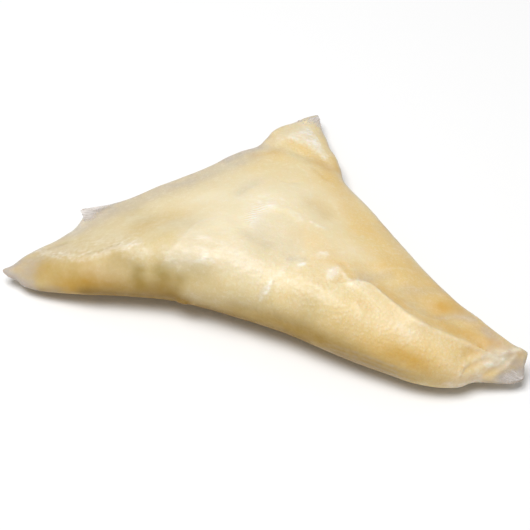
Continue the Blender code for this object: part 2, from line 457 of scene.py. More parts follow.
# %% Stain the slope
SLOPE_PALE = (  # a dry patch behind the crumple
    (0.40, stain, 0.0050, (350, 250), (366, 256), (378, 262)),
)
SLOPE_WHITE = (  # dry threads on two of the ridges
    (0.14, near, 0.0005, (382, 270), (396, 268), (412, 271)),
    (0.12, near, 0.0005, (440, 319), (458, 317), (476, 320)),
)
SLOPE_BUTTER = (  # broad butter stains down the whole slope
    (0.30, stain, 0.0060, (335, 180), (350, 205), (362, 222)),
    (0.30, near, 0.0050, (362, 232), (374, 244), (392, 262), (416, 282)),
    (0.45, stain, 0.0100, (366, 232), (384, 250), (404, 272), (425, 292)),
    (0.30, near, 0.0034, (376, 232), (390, 248), (406, 266)),
    (0.30, near, 0.0034, (382, 220), (392, 232)),
    (0.22, near, 0.0060, (400, 284), (430, 306), (460, 324)),
)
SLOPE_TAN = (  # orange stains towards the valley and the rim, and one golden spot
    (0.14, near, 0.0034, (354, 210), (364, 222), (376, 235)),
    (0.24, near, 0.0020, (385, 224), (395, 236), (406, 249)),
    (0.16, near, 0.0026, (386, 226), (394, 236)),
    (0.18, near, 0.0020, (386, 233), (398, 247), (410, 262)),
    (0.22, near, 0.0044, (388, 264), (404, 268), (418, 280)),
    (0.24, near, 0.0040, (400, 296), (418, 304), (434, 314)),
    (0.22, near, 0.0026, (420, 270), (436, 284), (446, 293), (452, 299)),
    (0.12, near, 0.0036, (432, 322), (458, 330), (484, 338)),
    (0.26, near, 0.0030, (434, 300), (442, 307), (440, 315)),
    (0.24, near, 0.0030, (436, 288), (446, 294), (457, 304)),
    (0.50, stain, 0.0022, (442, 306), (449, 309), (456, 313)),
    (0.12, near, 0.0026, (448, 324), (462, 329)),
    (0.14, near, 0.0016, (452, 302), (466, 312), (478, 323), (492, 335)),
    (0.10, near, 0.0022, (456, 306), (468, 316), (480, 326)),
    (0.20, near, 0.0028, (466, 314), (476, 322), (488, 331)),
    (0.14, near, 0.0026, (478, 336), (490, 342), (500, 346)),
    (0.14, near, 0.0020, (498, 340), (507, 347)),
)
SLOPE_SHEER = (  # greyish bands where the sheets part
    (0.22, stain, 0.0016, (360, 276), (374, 276), (390, 275)),
    (0.12, stain, 0.0015, (376, 226), (394, 246), (412, 266), (422, 276)),
    (0.20, stain, 0.0018, (404, 290), (420, 291), (440, 290)),
    (0.14, near, 0.0030, (412, 288), (420, 298), (428, 306)),
    (0.26, stain, 0.0012, (438, 318), (454, 317), (474, 319)),
    (0.16, near, 0.0028, (460, 315), (472, 319), (486, 329)),
    (0.10, near, 0.0020, (462, 311), (474, 320)),
    (0.40, stain, 0.0020, (486, 331), (498, 341), (510, 349)),
)
brush(pale_and_highlight, SLOPE_PALE)
brush(dry_white_and_highlight, SLOPE_WHITE)
brush(butter, SLOPE_BUTTER)
brush(tan, SLOPE_TAN)
brush(sheer, SLOPE_SHEER)
print("the slope's stains cover", round(100 * float((tan > 0.3).mean())), "% of the skin")

# %% [markdown]
# ### The crumple
# Above the middle of the roll the sheets were pushed together as the last fold was pressed down. They stand
# up in short ridges and small lumps, which are dry on top and carry painted glints, so they are the whitest
# places of all.

# %% Crumple the sheets above the roll
CRUMPLE_RELIEF = (  # ridges and lumps, and the hollows between them
    (0.00007, near, 0.0013, (267, 286), (264, 293), (262, 298)),
    (0.00010, near, 0.0007, (271.5, 282), (269.5, 288), (267, 293)),
    (0.00005, near, 0.0007, (273, 278), (281, 270), (289, 263)),
    (-0.00006, near, 0.0007, (274, 283), (272.5, 291), (268, 298)),
    (-0.00008, near, 0.0010, (289, 260), (297, 260), (306, 260)),
    (0.00008, near, 0.0008, (296, 265), (301, 264), (305, 263)),
    (0.00010, near, 0.0012, (300, 290), (308, 296)),
    (0.00010, near, 0.0012, (312, 283), (322, 288)),
    (0.00009, near, 0.0013, (315, 256), (320, 253), (326, 254)),
    (-0.00009, near, 0.0010, (322, 263), (328, 265)),
    (-0.00012, near, 0.0010, (322, 282), (328, 285), (337, 281)),
    (0.00015, near, 0.0008, (330, 276), (333, 271)),
    (0.00011, near, 0.0006, (337, 267), (341, 269), (345, 275), (350, 280)),
    (-0.00010, near, 0.0011, (341, 263), (348, 270), (355, 276)),
    (-0.00014, near, 0.0010, (341, 279), (346, 285), (354, 290)),
    (0.00017, near, 0.0009, (353, 284), (358, 282)),
    (0.00012, near, 0.0011, (356, 300), (360, 306), (362, 313)),
)
pressed = near(0.0070, (300, 274), (330, 282), (352, 294))
height += 0.00005 * creased(0.0015, 37, (1, 1.6, 1), turn=-30) * pressed
brush(height, CRUMPLE_RELIEF)
print("the crumple stands", round(1000 * float(height.max()), 2), "mm high")

# %% Dry the crumple's tops and paint their glints
CRUMPLE_PALE = (  # dry slopes of the lumps
    (0.30, near, 0.0020, (320, 264), (324, 267)),
    (0.40, near, 0.0016, (331, 268), (337, 266)),
    (0.45, near, 0.0026, (356, 269), (368, 273)),
    (0.40, near, 0.0026, (392, 291), (404, 300), (416, 308)),
)
CRUMPLE_WHITE = (  # the driest tops, and painted glints on them
    (0.25, near, 0.0004, (260, 300), (262.5, 296), (266, 292.5)),
    (0.75, lip, 0.0008, 0.0004, (268.5, 290), (269.5, 287.5), (271.5, 283)),
    (0.16, near, 0.0008, (272, 279), (280, 270), (290, 262)),
    (0.45, patch, 0.0006, (294, 265), (301, 262), (307, 261.5), (304.5, 265.5), (298, 267)),
    (0.60, near, 0.0005, (299, 264.6), (304, 263.6)),
    (1.10, near, 0.0010, (330.5, 275), (333.5, 272)),
    (0.50, near, 0.0007, (333, 271), (335.5, 270)),
    (0.40, near, 0.0005, (338, 268), (341, 270), (345, 275), (350, 280)),
)
CRUMPLE_FLAKE_GLINTS = (  # flaky patches on the lumps, painted as glints
    (0.24, patch, 0.0006, (272, 281), (272, 286), (268, 294), (261.5, 300), (261, 294), (265, 286)),
    (0.50, patch, 0.0010, (312, 255), (319, 250), (327, 251), (330, 257), (322, 259)),
    (0.60, patch, 0.0011, (335, 268), (338.5, 272), (334, 277), (328, 281), (325.5, 278), (329, 271)),
    (0.80, near, 0.0012, (353, 283.5), (357, 282.5)),
    (0.25, near, 0.0010, (361, 287), (366, 292)),
)
CRUMPLE_BUTTER = (  # butter behind the last lump
    (0.40, near, 0.0036, (354, 268), (368, 272)),
)
CRUMPLE_TAN = (  # stains in the hollows
    (0.06, stain, 0.0030, (312, 262), (316, 272)),
    (0.14, near, 0.0009, (341, 264), (348, 272), (354, 278)),
)
CRUMPLE_SHEER = (  # stretched sheet beside the ridges
    (0.24, near, 0.0010, (265, 289), (262, 296)),
    (0.24, near, 0.0010, (290, 259), (298, 258), (304, 259)),
    (0.20, near, 0.0009, (360, 280), (372, 279)),
)
CRUMPLE_GLOSS = (  # tops that shine
    (1.00, near, 0.0009, (270, 284), (269, 292)),
    (1.00, near, 0.0009, (297, 265), (304, 264)),
    (1.00, near, 0.0014, (331, 274), (333, 271)),
    (1.00, near, 0.0011, (355, 283)),
)
brush(pale_and_highlight, CRUMPLE_PALE)
brush(dry_white_and_highlight, CRUMPLE_WHITE)
brush(dry_white_and_highlight, CRUMPLE_FLAKE_GLINTS, flecked)
brush(butter, CRUMPLE_BUTTER)
brush(tan, CRUMPLE_TAN)
brush(sheer, CRUMPLE_SHEER)
brush(gloss, CRUMPLE_GLOSS)
print("the crumple has", len(CRUMPLE_WHITE) + len(CRUMPLE_FLAKE_GLINTS), "dry strokes")

# %% [markdown]
# ### The crown
# The top has two shallow dents with a raised rim between them, and painted shade in them. The larger one is
# flat and greyish, because the sheet clings to the filling there. Its upper rim is a dry, finely ribbed
# crescent with a painted highlight.

# %% Dent the crown
CROWN_RELIEF = (  # dents and grooves, and the rims between them
    (-0.00026, near, 0.0012, (240, 194), (247, 188), (256, 183)),
    (-0.00013, near, 0.0022, (248, 235), (257, 240), (266, 246)),
    (0.00022, near, 0.0016, (249, 223), (252, 214), (258, 208), (268, 204)),
    (-0.00035, near, 0.0048, (266, 232), (278, 236), (290, 240)),
    (0.00014, near, 0.0010, (274, 206), (286, 209)),
    (-0.00014, near, 0.0008, (280, 180), (288, 182), (298, 182)),
    (0.00010, near, 0.0007, (286, 208), (293, 211), (299, 215), (303, 220)),
    (0.00007, near, 0.0005, (290, 213), (295, 217), (299, 221)),
    (0.00012, near, 0.0009, (311, 221), (317, 225), (323, 228)),
    (-0.00026, near, 0.0036, (315, 205), (325, 211)),
)
brush(height, CROWN_RELIEF)
print("the crown's dents reach", round(1000 * float(-height.min()), 2), "mm down")

# %% Tint the crown
CROWN_PALE = (  # pale areas round the dents
    (0.30, near, 0.0100, (190, 203), (214, 196), (240, 188)),
    (0.55, near, 0.0120, (214, 226), (250, 204), (290, 202), (314, 194)),
    (0.50, near, 0.0014, (245, 221), (250, 226)),
    (0.60, near, 0.0085, (258, 232), (276, 240), (294, 250)),
    (0.15, near, 0.0080, (274, 164), (290, 160), (306, 172)),
    (0.25, near, 0.0060, (290, 188), (306, 190)),
    (0.35, near, 0.0080, (334, 214), (342, 236), (352, 256)),
)
CROWN_WHITE = (  # the crescent's painted highlight, and a thread to the right of it
    (0.85, lip, 0.0020, 0.0007, (266, 206.5), (261, 208.5), (255.5, 212.5), (251, 221)),
    (0.24, near, 0.0005, (290, 213), (295, 217), (299, 221)),
)
CROWN_FLAKES = (  # flakes on the rim between the dents
    (0.35, stain, 0.0028, (252, 200), (266, 196), (276, 200)),
    (0.40, stain, 0.0016, (258, 208), (263, 204), (268, 204)),
    (0.36, near, 0.0007, (288, 208), (294, 211), (299, 215), (303, 220)),
    (0.45, near, 0.0008, (312, 222), (318, 226), (323, 228)),
)
CROWN_BUTTER = (  # butter towards the apex and the right leg
    (0.30, near, 0.0070, (284, 176), (300, 178), (316, 184)),
    (0.25, near, 0.0050, (332, 186), (344, 200), (354, 214)),
)
CROWN_TAN = (  # stains to the right of the large dent, and painted shade in the small one
    (0.22, stain, 0.0050, (308, 236), (322, 246), (330, 258)),
    (0.20, stain, 0.0032, (315, 205), (325, 212)),
)
CROWN_OLIVE = (  # painted shade in the two dents, tinted by the filling below
    (0.12, near, 0.0018, (248, 236), (256, 240), (268, 246)),
    (0.14, stain, 0.0032, (312, 201), (319, 204), (326, 211)),
)
CROWN_SHEER = (  # wet sheet that clings in the dents, and painted shade on the large dent's lower side
    (0.24, stain, 0.0024, (240, 192), (247, 187), (256, 182)),
    (0.14, stain, 0.0020, (247, 233), (256, 239), (266, 245)),
    (0.14, patch, 0.0012, (256, 212), (284, 214), (303, 228), (304, 250), (290, 262), (268, 246),
     (255, 232)),
)
CROWN_GLOSS = (  # a shine along the crescent
    (0.60, near, 0.0016, (249, 222), (253, 212), (260, 206), (268, 204)),
)
CROWN_RIBS = (  # the crescent's fine ribs, with painted highlights on them
    (0.70, near, 0.0014, (249.5, 219.5), (252, 214.5), (256, 210.5), (262, 207.5)),
)
brush(pale_and_highlight, CROWN_PALE)
brush(dry_white_and_highlight, CROWN_WHITE)
brush(dry_white_and_highlight, CROWN_FLAKES, flecked)
brush(butter, CROWN_BUTTER)
brush(tan, CROWN_TAN)
brush(olive, CROWN_OLIVE)
brush(sheer, CROWN_SHEER)
brush(gloss, CROWN_GLOSS)
brush(ribs_and_highlight, CROWN_RIBS)
print("the crown has", int((dry_white_and_highlight > 0.5).sum()), "white points")

# %% [markdown]
# ### The apex
# Above the filling the sheets lie flat on each other and make a wing. A dry facet crosses it, white with a
# painted highlight, and below that the wing bends down to the shoulder in an orange line. The rims are so
# thin that they look grey.

# %% Fold the apex
APEX_RELIEF = (  # the wing's bends and small creases
    (0.00012, near, 0.0011, (262, 152), (270, 154), (278, 152)),
    (-0.00009, near, 0.0018, (287, 145), (298, 152), (309, 159), (318, 166)),
    (-0.00010, near, 0.0010, (288, 130), (296, 127), (303, 124)),
    (0.00010, near, 0.0024, (292, 137), (304, 134), (314, 144), (324, 156)),
    (-0.00010, near, 0.0010, (310, 162), (318, 171), (326, 179)),
    (0.00007, near, 0.0010, (313, 126), (319, 136), (325, 148)),
)
FACET = (
    (288, 138), (291, 135), (303, 131), (305, 127), (309, 127), (312, 133), (318, 141), (321, 149),
    (327, 157), (325, 160), (314, 150), (305, 144),
)
facet = patch(0.0010, *FACET)
height += 0.00005 * facet
brush(height, APEX_RELIEF)
print("the facet has", int((facet > 0.5).sum()), "points")

# %% Tint the apex
APEX_PALE = (  # the wing's dry upper rim
    (0.50, near, 0.0024, (272, 144), (282, 137), (294, 128), (304, 123), (312, 122)),
)
APEX_WHITE = (  # a dry nick in the rim
    (0.30, near, 0.0006, (301, 124), (304, 125)),
)
APEX_FLAKES = (  # flakes down the facet's right side
    (0.25, near, 0.0012, (308, 132), (311, 139), (318, 148)),
)
APEX_BUTTER = (  # butter below the wing and across it
    (0.35, near, 0.0030, (250, 167), (266, 160), (282, 157)),
    (0.35, stain, 0.0030, (300, 152), (316, 160), (330, 176)),
)
APEX_TAN = (  # the orange bend, and thin stains near the rims
    (0.40, stain, 0.0022, (256, 155), (264, 154), (274, 152)),
    (0.14, stain, 0.0014, (272, 138), (274, 146)),
    (0.10, stain, 0.0012, (288, 130), (294, 127.5), (301, 125)),
    (0.26, near, 0.0016, (292, 142), (303, 148), (312, 155), (322, 163)),
    (0.28, stain, 0.0022, (312, 161), (324, 167), (334, 169)),
    (0.20, near, 0.0010, (314, 170), (320, 175), (327, 180)),
    (0.18, stain, 0.0016, (320, 134), (325, 144), (329, 153)),
    (0.26, stain, 0.0030, (330, 172), (338, 182), (346, 194)),
    (0.30, near, 0.0014, (333, 159), (337, 166), (343, 177)),
)
APEX_SHEER = (  # see-through sheet along the left rim
    (0.40, stain, 0.0022, (228, 159), (243, 152.5), (258, 148)),
    (0.20, stain, 0.0026, (264, 146), (272, 140), (282, 133)),
)
# painted highlight on the dry facet
dry_white_and_highlight += 0.72 * flecked * facet
pale_and_highlight += 0.5 * facet
gloss += facet
brush(pale_and_highlight, APEX_PALE)
brush(dry_white_and_highlight, APEX_WHITE)
brush(dry_white_and_highlight, APEX_FLAKES, flecked)
brush(butter, APEX_BUTTER)
brush(tan, APEX_TAN)
brush(sheer, APEX_SHEER)
print("the apex has", int((dry_white_and_highlight > 0.5).sum()), "white points so far")

# %% [markdown]
# ### The tail
# The tail is the strip's far corner, where only sheets lie on each other. A crease runs along it: the
# wrinkled part above is lit, and the part below it has soaked up butter and turned golden.

# %% Crease the tail
TAIL_RELIEF = (  # a groove below the crease
    (-0.00010, near, 0.0009, (98, 260), (108, 256.5), (120, 252)),
)
TAIL_CREASE = (
    (41, 253.5), (52, 256), (66, 258.5), (80, 259), (94, 257.5), (106, 253.5), (118, 249), (130, 246.5),
)
TAIL_WRINKLES = (  # two wrinkles above the crease
    ((46, 249.5), (56, 247), (66, 243)),
    ((88, 254), (98, 251.5), (109, 247.5), (118, 244)),
)
height += 0.00016 * lip(0.0026, 0.0008, *TAIL_CREASE)
upper_tail = near(0.006, (46, 251), (74, 251), (100, 246), (124, 240))
height += 0.00007 * ripples(0.0018, 41, (3, 1, 1), turn=28) * upper_tail
height += 0.00004 * ripples(0.0008, 43, (3, 1, 1), turn=24) * upper_tail
for pixels in TAIL_WRINKLES:
    wrinkle = near(0.0007, *pixels)
    height -= 0.00007 * wrinkle
    olive += 0.24 * wrinkle
brush(height, TAIL_RELIEF)
print("the tail's crease is", round(1000 * float(np.ptp(trace(*TAIL_CREASE)[:, 0]))), "mm long")

# %% Tint the tail
TAIL_PALE = (  # dry places below the crease, and the start of the leg
    (0.30, near, 0.0040, (76, 229), (88, 223), (104, 214)),
    (0.30, near, 0.0030, (84, 277), (98, 278)),
    (0.60, near, 0.0040, (94, 274), (114, 273)),
    (0.30, near, 0.0024, (130, 262), (134, 269)),
)
TAIL_WHITE = (  # the dry edge where the leg starts
    (0.30, near, 0.0020, (72, 231), (78, 227), (84, 221)),
)
TAIL_FLAKES = (  # flakes above the crease
    (0.16, stain, 0.0026, (92, 244), (106, 240), (124, 238)),
)
TAIL_TAN = (  # the golden part
    (0.25, stain, 0.0040, (16, 274), (28, 272), (40, 268)),
    (0.30, stain, 0.0060, (44, 266), (66, 272), (84, 276)),
    (0.18, near, 0.0040, (50, 281), (76, 284), (110, 286)),
    (0.25, near, 0.0020, (58, 288), (72, 290), (86, 290)),
    (0.12, near, 0.0030, (84, 263), (100, 262)),
    (0.15, stain, 0.0030, (112, 252), (120, 262), (116, 272)),
)
TAIL_OLIVE = (  # filling and wet sheet below the surface
    (0.18, near, 0.0050, (40, 267), (55, 271), (70, 276)),
    (0.22, near, 0.0110, (40, 268), (80, 268), (100, 266)),
    (0.16, near, 0.0110, (40, 256), (90, 240), (150, 236)),
    (0.20, near, 0.0022, (118, 256), (127, 260)),
)
TAIL_SHEER = (  # the tip, where only sheets are left
    (0.40, stain, 0.0034, (6, 273), (14, 271), (24, 270)),
    (0.25, stain, 0.0026, (22, 282), (30, 276), (32, 262)),
)
tail_lip = lip(0.0034, 0.0008, *TAIL_CREASE)
# painted highlight on the crease's lit upper side
dry_white_and_highlight += 0.32 * flecked * tail_lip
pale_and_highlight += 0.40 * tail_lip
dry_white_and_highlight += 0.12 * flecked * upper_tail
brush(pale_and_highlight, TAIL_PALE)
brush(dry_white_and_highlight, TAIL_WHITE)
brush(dry_white_and_highlight, TAIL_FLAKES, flecked)
brush(tan, TAIL_TAN)
brush(olive, TAIL_OLIVE)
brush(sheer, TAIL_SHEER)
print("the tail's golden part has", len(TAIL_TAN), "strokes")

# %% [markdown]
# ### The left leg
# Here the outer sheet is dry and crinkled towards the roll, and clear and yellow towards the edge. A fold
# in it runs up from the puckers of the front, and the filling shows through them as olive spots. Each fold
# like this one is a small step: ease makes the rise, and a band lets it fade out on the high side.

# %% Crinkle the left leg
LEG_RELIEF = (  # swells and creases between the tail and the crown
    (-0.00008, near, 0.0012, (120, 246), (130, 242), (144, 239), (158, 235)),
    (0.00020, near, 0.0024, (126, 247), (134, 248), (143, 252)),
    (0.00012, near, 0.0020, (170, 257), (184, 258), (200, 258)),
    (-0.00012, near, 0.0012, (176, 266), (196, 265), (208, 269), (222, 274), (236, 280)),
)
shoulder = near(0.009, (176, 250), (204, 238), (236, 240), (250, 256))
height += 0.00006 * creased(0.0024, 51, (3.6, 1, 1), turn=14) * shoulder
height += 0.00006 * creased(0.0012, 53, (4.0, 1, 1), turn=12) * shoulder
height += 0.00005 * ripples(0.0007, 57, (6.0, 1, 1), turn=12) * shoulder
brush(height, LEG_RELIEF)
print("the shoulder's crinkles cover", round(100 * float((shoulder > 0.3).mean())), "% of the skin")

# %% Fold the sheet up the left leg
SHOULDER_FOLD = ((165, 257), (168, 250), (176, 243), (184, 235.5), (191, 228.5), (200, 221), (214, 218))
leg_fold, fold_side = gap_from(trace(*SHOULDER_FOLD), 0.012)
beyond = leg_fold * fold_side  # over zero on the shoulder's side of the fold
past, before = np.maximum(beyond, 0), np.maximum(-beyond, 0)
along_fold = near(0.0060, (172, 248), (186, 233), (200, 222))
height += 0.00020 * ease(beyond, -0.0007, 0.0007) * band(past, 0, 0.005) * along_fold
height += 0.00007 * band(beyond, 0.0005, 0.0008) * along_fold
pale_and_highlight += 0.30 * ease(beyond, -0.0003, 0.0012) * band(past, 0, 0.008) * along_fold
butter += 0.10 * ease(-beyond, -0.0003, 0.0012) * band(before, 0, 0.006) * along_fold
# painted highlight on the fold's lip
dry_white_and_highlight += 0.16 * band(beyond, 0.0006, 0.0007) * along_fold
print("the leg's fold runs past", int((along_fold > 0.5).sum()), "points")

# %% Tint the left leg
LEG_PALE = (  # dry places
    (0.30, near, 0.0060, (112, 232), (134, 223)),
    (0.55, near, 0.0040, (170, 220), (182, 220), (190, 226)),
    (0.35, near, 0.0040, (176, 207), (190, 203), (204, 198)),
    (0.40, near, 0.0036, (198, 223), (214, 219)),
)
LEG_STREAKS = (  # dry tops of the crinkles, with painted sheen
    (0.48, stain, 0.0016, (165, 254), (168, 259), (173, 260)),
    (0.42, stain, 0.0016, (178, 257), (192, 258.5), (208, 258)),
    (0.24, stain, 0.0034, (190, 243), (212, 240), (232, 245)),
    (0.42, stain, 0.0014, (199, 235), (203, 238)),
    (0.22, stain, 0.0034, (212, 262), (236, 270), (256, 276)),
    (0.20, stain, 0.0028, (236, 248), (242, 256), (246, 262)),
)
LEG_FLAKES = (  # flakes on the swell beside the tail
    (0.34, stain, 0.0024, (130, 247), (137, 249), (144, 254)),
)
LEG_BUTTER = (  # yellow, soaked sheet
    (0.25, near, 0.0050, (142, 226), (156, 222), (172, 218)),
    (0.30, stain, 0.0050, (146, 226), (162, 220), (176, 215)),
)
LEG_OLIVE = (  # filling that shows through
    (0.16, stain, 0.0034, (120, 212), (136, 208)),
    (0.10, near, 0.0040, (134, 216), (146, 218), (150, 226)),
    (0.04, near, 0.0070, (134, 222), (160, 214), (184, 222)),
    (0.16, stain, 0.0050, (146, 222), (170, 216), (190, 224)),
    (0.08, near, 0.0040, (168, 250), (174, 268), (190, 268)),
)
LEG_SHEER = (  # clear sheet along the rim, and thin sheet on the shoulder
    (0.16, near, 0.0045, (76, 230), (90, 223), (104, 214)),
    (0.35, near, 0.0022, (88, 210), (98, 207)),
    (0.22, near, 0.0050, (96, 216), (116, 210), (150, 196), (200, 178), (240, 160)),
    (0.10, near, 0.0040, (186, 251), (240, 256), (262, 262), (281, 262)),
    (0.10, near, 0.0050, (196, 246), (226, 250), (246, 258)),
)
dry_streaks = 0.4 + 1.3 * np.abs(ripples(0.0016, 73, (2.5, 1, 1), turn=14))
upper_leg = near(0.0130, (112, 232), (150, 220), (190, 200), (230, 178))
leg_streaks = ripples(0.0045, 59, (1.6, 1, 1), turn=38)
height += 0.00004 * leg_streaks * upper_leg
olive += 0.08 * np.clip(leg_streaks, 0, 1) * upper_leg
pale_and_highlight += 0.25 * np.clip(-leg_streaks, 0, 1) * upper_leg
brush(pale_and_highlight, LEG_PALE)
brush(dry_white_and_highlight, LEG_STREAKS, dry_streaks)
brush(dry_white_and_highlight, LEG_FLAKES, flecked)
brush(butter, LEG_BUTTER)
brush(olive, LEG_OLIVE)
brush(sheer, LEG_SHEER)
print("the left leg has", len(LEG_STREAKS), "dry streaks")

# %% Pucker the front below it
PUCKER_RELIEF = (  # puckers, and the swells between and below them
    (-0.00030, near, 0.0022, (120, 260), (127, 262)),
    (-0.00050, near, 0.0020, (139, 270), (138, 280)),
    (0.00016, near, 0.0016, (149, 262), (151, 272)),
    (-0.00036, near, 0.0024, (160, 272), (165, 280)),
    (-0.00050, near, 0.0024, (176, 274), (190, 273), (206, 276)),
    (0.00040, near, 0.0008, (178, 301), (185, 302.5), (194, 303)),
    (-0.00034, near, 0.0018, (179, 283), (175, 290)),
    (0.00034, near, 0.0030, (188, 291), (208, 294), (228, 297)),
    (-0.00020, near, 0.0022, (226, 252), (248, 262), (272, 273), (296, 285), (318, 297)),
    (-0.00036, near, 0.0025, (236, 306), (252, 310)),
    (0.00045, near, 0.0046, (236, 286), (262, 295), (290, 306), (322, 322)),
    (-0.00030, near, 0.0025, (284, 322), (300, 328)),
    (-0.00020, near, 0.0025, (312, 312), (324, 316)),
)
GATHERS = (  # fine gathers in the middle of the front
    ((259, 301), (257, 307), (256, 312)),
    ((263, 302), (262, 311), (262, 320)),
    ((267, 301), (267.5, 308), (269, 314)),
    ((271, 300), (273, 308), (276, 316)),
)
for pixels in GATHERS:
    gather = flecked * near(0.0005, *pixels)
    height -= 0.00005 * gather
    olive += 0.12 * gather
brush(height, PUCKER_RELIEF)
print("the front has", len(PUCKER_RELIEF), "puckers and swells")

# %% Let the filling show in the puckers
PUCKER_OLIVE = (  # the filling's colour, and one painted shadow beside the nib
    (0.16, stain, 0.0028, (114, 262), (124, 266)),
    (0.60, near, 0.0022, (139, 272), (138, 281), (141, 289)),
    (0.14, near, 0.0040, (150, 284), (170, 286)),
    (0.50, near, 0.0024, (160, 272), (163, 280), (160, 288)),
    (0.18, near, 0.0034, (172, 268), (184, 272), (200, 274)),
    # painted shadow beside the nib, in the filling's colour
    (0.42, near, 0.0020, (181, 280), (177, 288), (173, 293)),
    (0.05, near, 0.0020, (194, 270), (206, 272), (218, 276)),
    (0.10, near, 0.0034, (200, 280), (214, 286)),
    (0.22, near, 0.0034, (236, 306), (250, 310), (266, 314)),
    (0.22, near, 0.0036, (282, 320), (300, 324)),
    (0.24, near, 0.0050, (306, 302), (314, 312), (308, 324)),
    (0.12, near, 0.0026, (310, 304), (313, 312)),
)
brush(olive, PUCKER_OLIVE)
print("the filling shows in", len(PUCKER_OLIVE), "places")

# %% [markdown]
# ### The front
# Under the highest point of the roll the sheets turn in below the packet. They are soaked there, and a
# painted shade darkens them where they face down and forwards. The right half is orange in places. A pebbled
# look comes from the crumbs of filling below the sheets.

# %% Soak and shade the front where it turns in
LIT_AGAIN = (  # swells that come back into the light
    (1.00, stain, 0.0060, (188, 291), (208, 294), (230, 298)),
    (0.30, stain, 0.0050, (264, 312), (282, 317)),
    (1.20, near, 0.0044, (432, 386), (446, 386), (458, 386), (470, 381)),
    (0.30, near, 0.0030, (388, 375), (402, 380), (416, 383)),
    (0.90, near, 0.0050, (70, 284), (92, 282), (112, 283), (132, 285)),
    (0.50, near, 0.0030, (74, 285), (86, 283), (98, 284)),
)
SOAK_AND_SHADE_EDGE = (  # the dark line where the sheets turn in: soaked butter, with painted contact shade
    (0.85, near, 0.0020, (84, 293), (120, 295), (169, 298)),
    (1.00, near, 0.0024, (176, 300), (210, 309), (237, 317)),
    (0.85, near, 0.0020, (250, 321), (287, 333), (306, 341)),
    (0.34, near, 0.0036, (92, 289), (116, 291), (140, 292), (166, 294)),
)
LEFT_HALF_ENDS = ((310, 330), (400, 360))  # the left half fades out between these pixels
lit_again, contact_shade_and_soak = np.zeros((2, len(places)))
brush(lit_again, LIT_AGAIN)
brush(contact_shade_and_soak, SOAK_AND_SHADE_EDGE)
turned_in = 1 - ease(outward[:, 2] + 0.06 * ripples(0.005, 61), 0.05, 0.62)
left_half = 1 - ease(places[:, 0], *(spot(*pixel)[0] for pixel in LEFT_HALF_ENDS))
frontward = -outward[:, 1]
# painted shade, in a soaked colour: darker where the skin faces down and forwards
shade_and_soak = turned_in * (0.5 + 0.5 * ease(frontward, -0.2, 0.5)) * (0.85 + 0.15 * left_half)
# less painted shade on the swells that come back into the light
shade_and_soak *= 1 - 0.55 * lit_again
# painted contact shade: darker where the underside turns away and faces the front
contact_shade_and_soak += 0.40 * (1 - ease(facing_camera, -0.30, -0.04)) * ease(frontward, 0.1, 0.6)
print("dark below:", round(100 * float(shade_and_soak.mean())), "% of the skin")

# %% Colour the front
FRONT_PALE = (  # dry swells on the right half
    (0.40, stain, 0.0014, (358, 308), (362, 314)),
    (0.30, near, 0.0030, (382, 333), (390, 340)),
    (0.45, stain, 0.0046, (384, 318), (398, 330), (412, 340)),
    (0.55, near, 0.0026, (384, 336), (393, 341)),
)
FRONT_WHITE = (  # the dry edge below the mouth, lightened with painted light where the underside is in shade
    (0.55, near, 0.0022, (452, 386), (462, 386), (470, 383), (476, 380)),
)
FRONT_FLAKES = (  # flakes below the crumple and before the mouth
    (0.20, stain, 0.0050, (282, 280), (300, 286), (322, 290)),
    (0.30, stain, 0.0020, (398, 329), (408, 334)),
    (0.22, stain, 0.0030, (448, 356), (451, 364)),
)
FRONT_BUTTER = (  # butter over the right half
    (0.35, stain, 0.0080, (306, 310), (340, 322), (380, 346)),
    (0.30, near, 0.0030, (320, 332), (350, 338), (372, 346)),
    (0.15, stain, 0.0050, (360, 292), (372, 304), (386, 318)),
    (0.50, near, 0.0050, (388, 346), (404, 354), (430, 366)),
    (0.30, stain, 0.0050, (430, 345), (450, 352), (462, 366)),
)
FRONT_TAN = (  # golden spots, and soaked sheet along the low edge
    (0.50, near, 0.0032, (68, 286), (90, 285), (112, 286), (134, 288)),
    (0.20, near, 0.0036, (340, 333), (360, 343), (384, 360), (412, 376)),
    (0.22, stain, 0.0016, (354, 298), (362, 304), (370, 312)),
    (0.20, near, 0.0040, (374, 350), (398, 360), (420, 365)),
    (0.30, stain, 0.0036, (394, 349), (404, 355), (416, 361)),
    (0.30, near, 0.0022, (399, 353), (407, 357)),
    (0.22, stain, 0.0022, (418, 363), (428, 367), (438, 370)),
    (0.12, near, 0.0034, (446, 374), (456, 379)),
    (0.30, near, 0.0026, (446, 383), (458, 384), (472, 379)),
)
FRONT_OLIVE = (  # filling that dulls the gold
    (0.14, near, 0.0050, (344, 338), (364, 350), (390, 362)),
    (0.10, near, 0.0036, (400, 354), (410, 358), (424, 366)),
)
FRONT_SHEER = (  # thin sheet along the low edge
    (0.30, stain, 0.0014, (318, 347), (355, 361), (399, 378)),
)
pebbled = near(0.012, (270, 290), (320, 300), (380, 335), (440, 362))
pebbled += 0.9 * near(0.006, (298, 138), (318, 150))
height += 0.00004 * ripples(0.0022, 63) * np.clip(pebbled, 0, 1)
rolled = near(0.0080, (280, 314), (330, 334), (370, 350))
height += 0.00004 * ripples(0.0009, 65, (2, 1, 1), turn=14) * rolled
brush(pale_and_highlight, FRONT_PALE)
brush(dry_white_and_highlight, FRONT_WHITE)
brush(dry_white_and_highlight, FRONT_FLAKES, flecked)
brush(butter, FRONT_BUTTER)
brush(tan, FRONT_TAN)
brush(olive, FRONT_OLIVE)
brush(sheer, FRONT_SHEER)
print("the front has", len(FRONT_TAN), "golden strokes")

# %% [markdown]
# Where the right half of the roll meets the surface, the sheets were pulled tight. Thin greyish stripes run
# along the edge there, a millimetre apart.

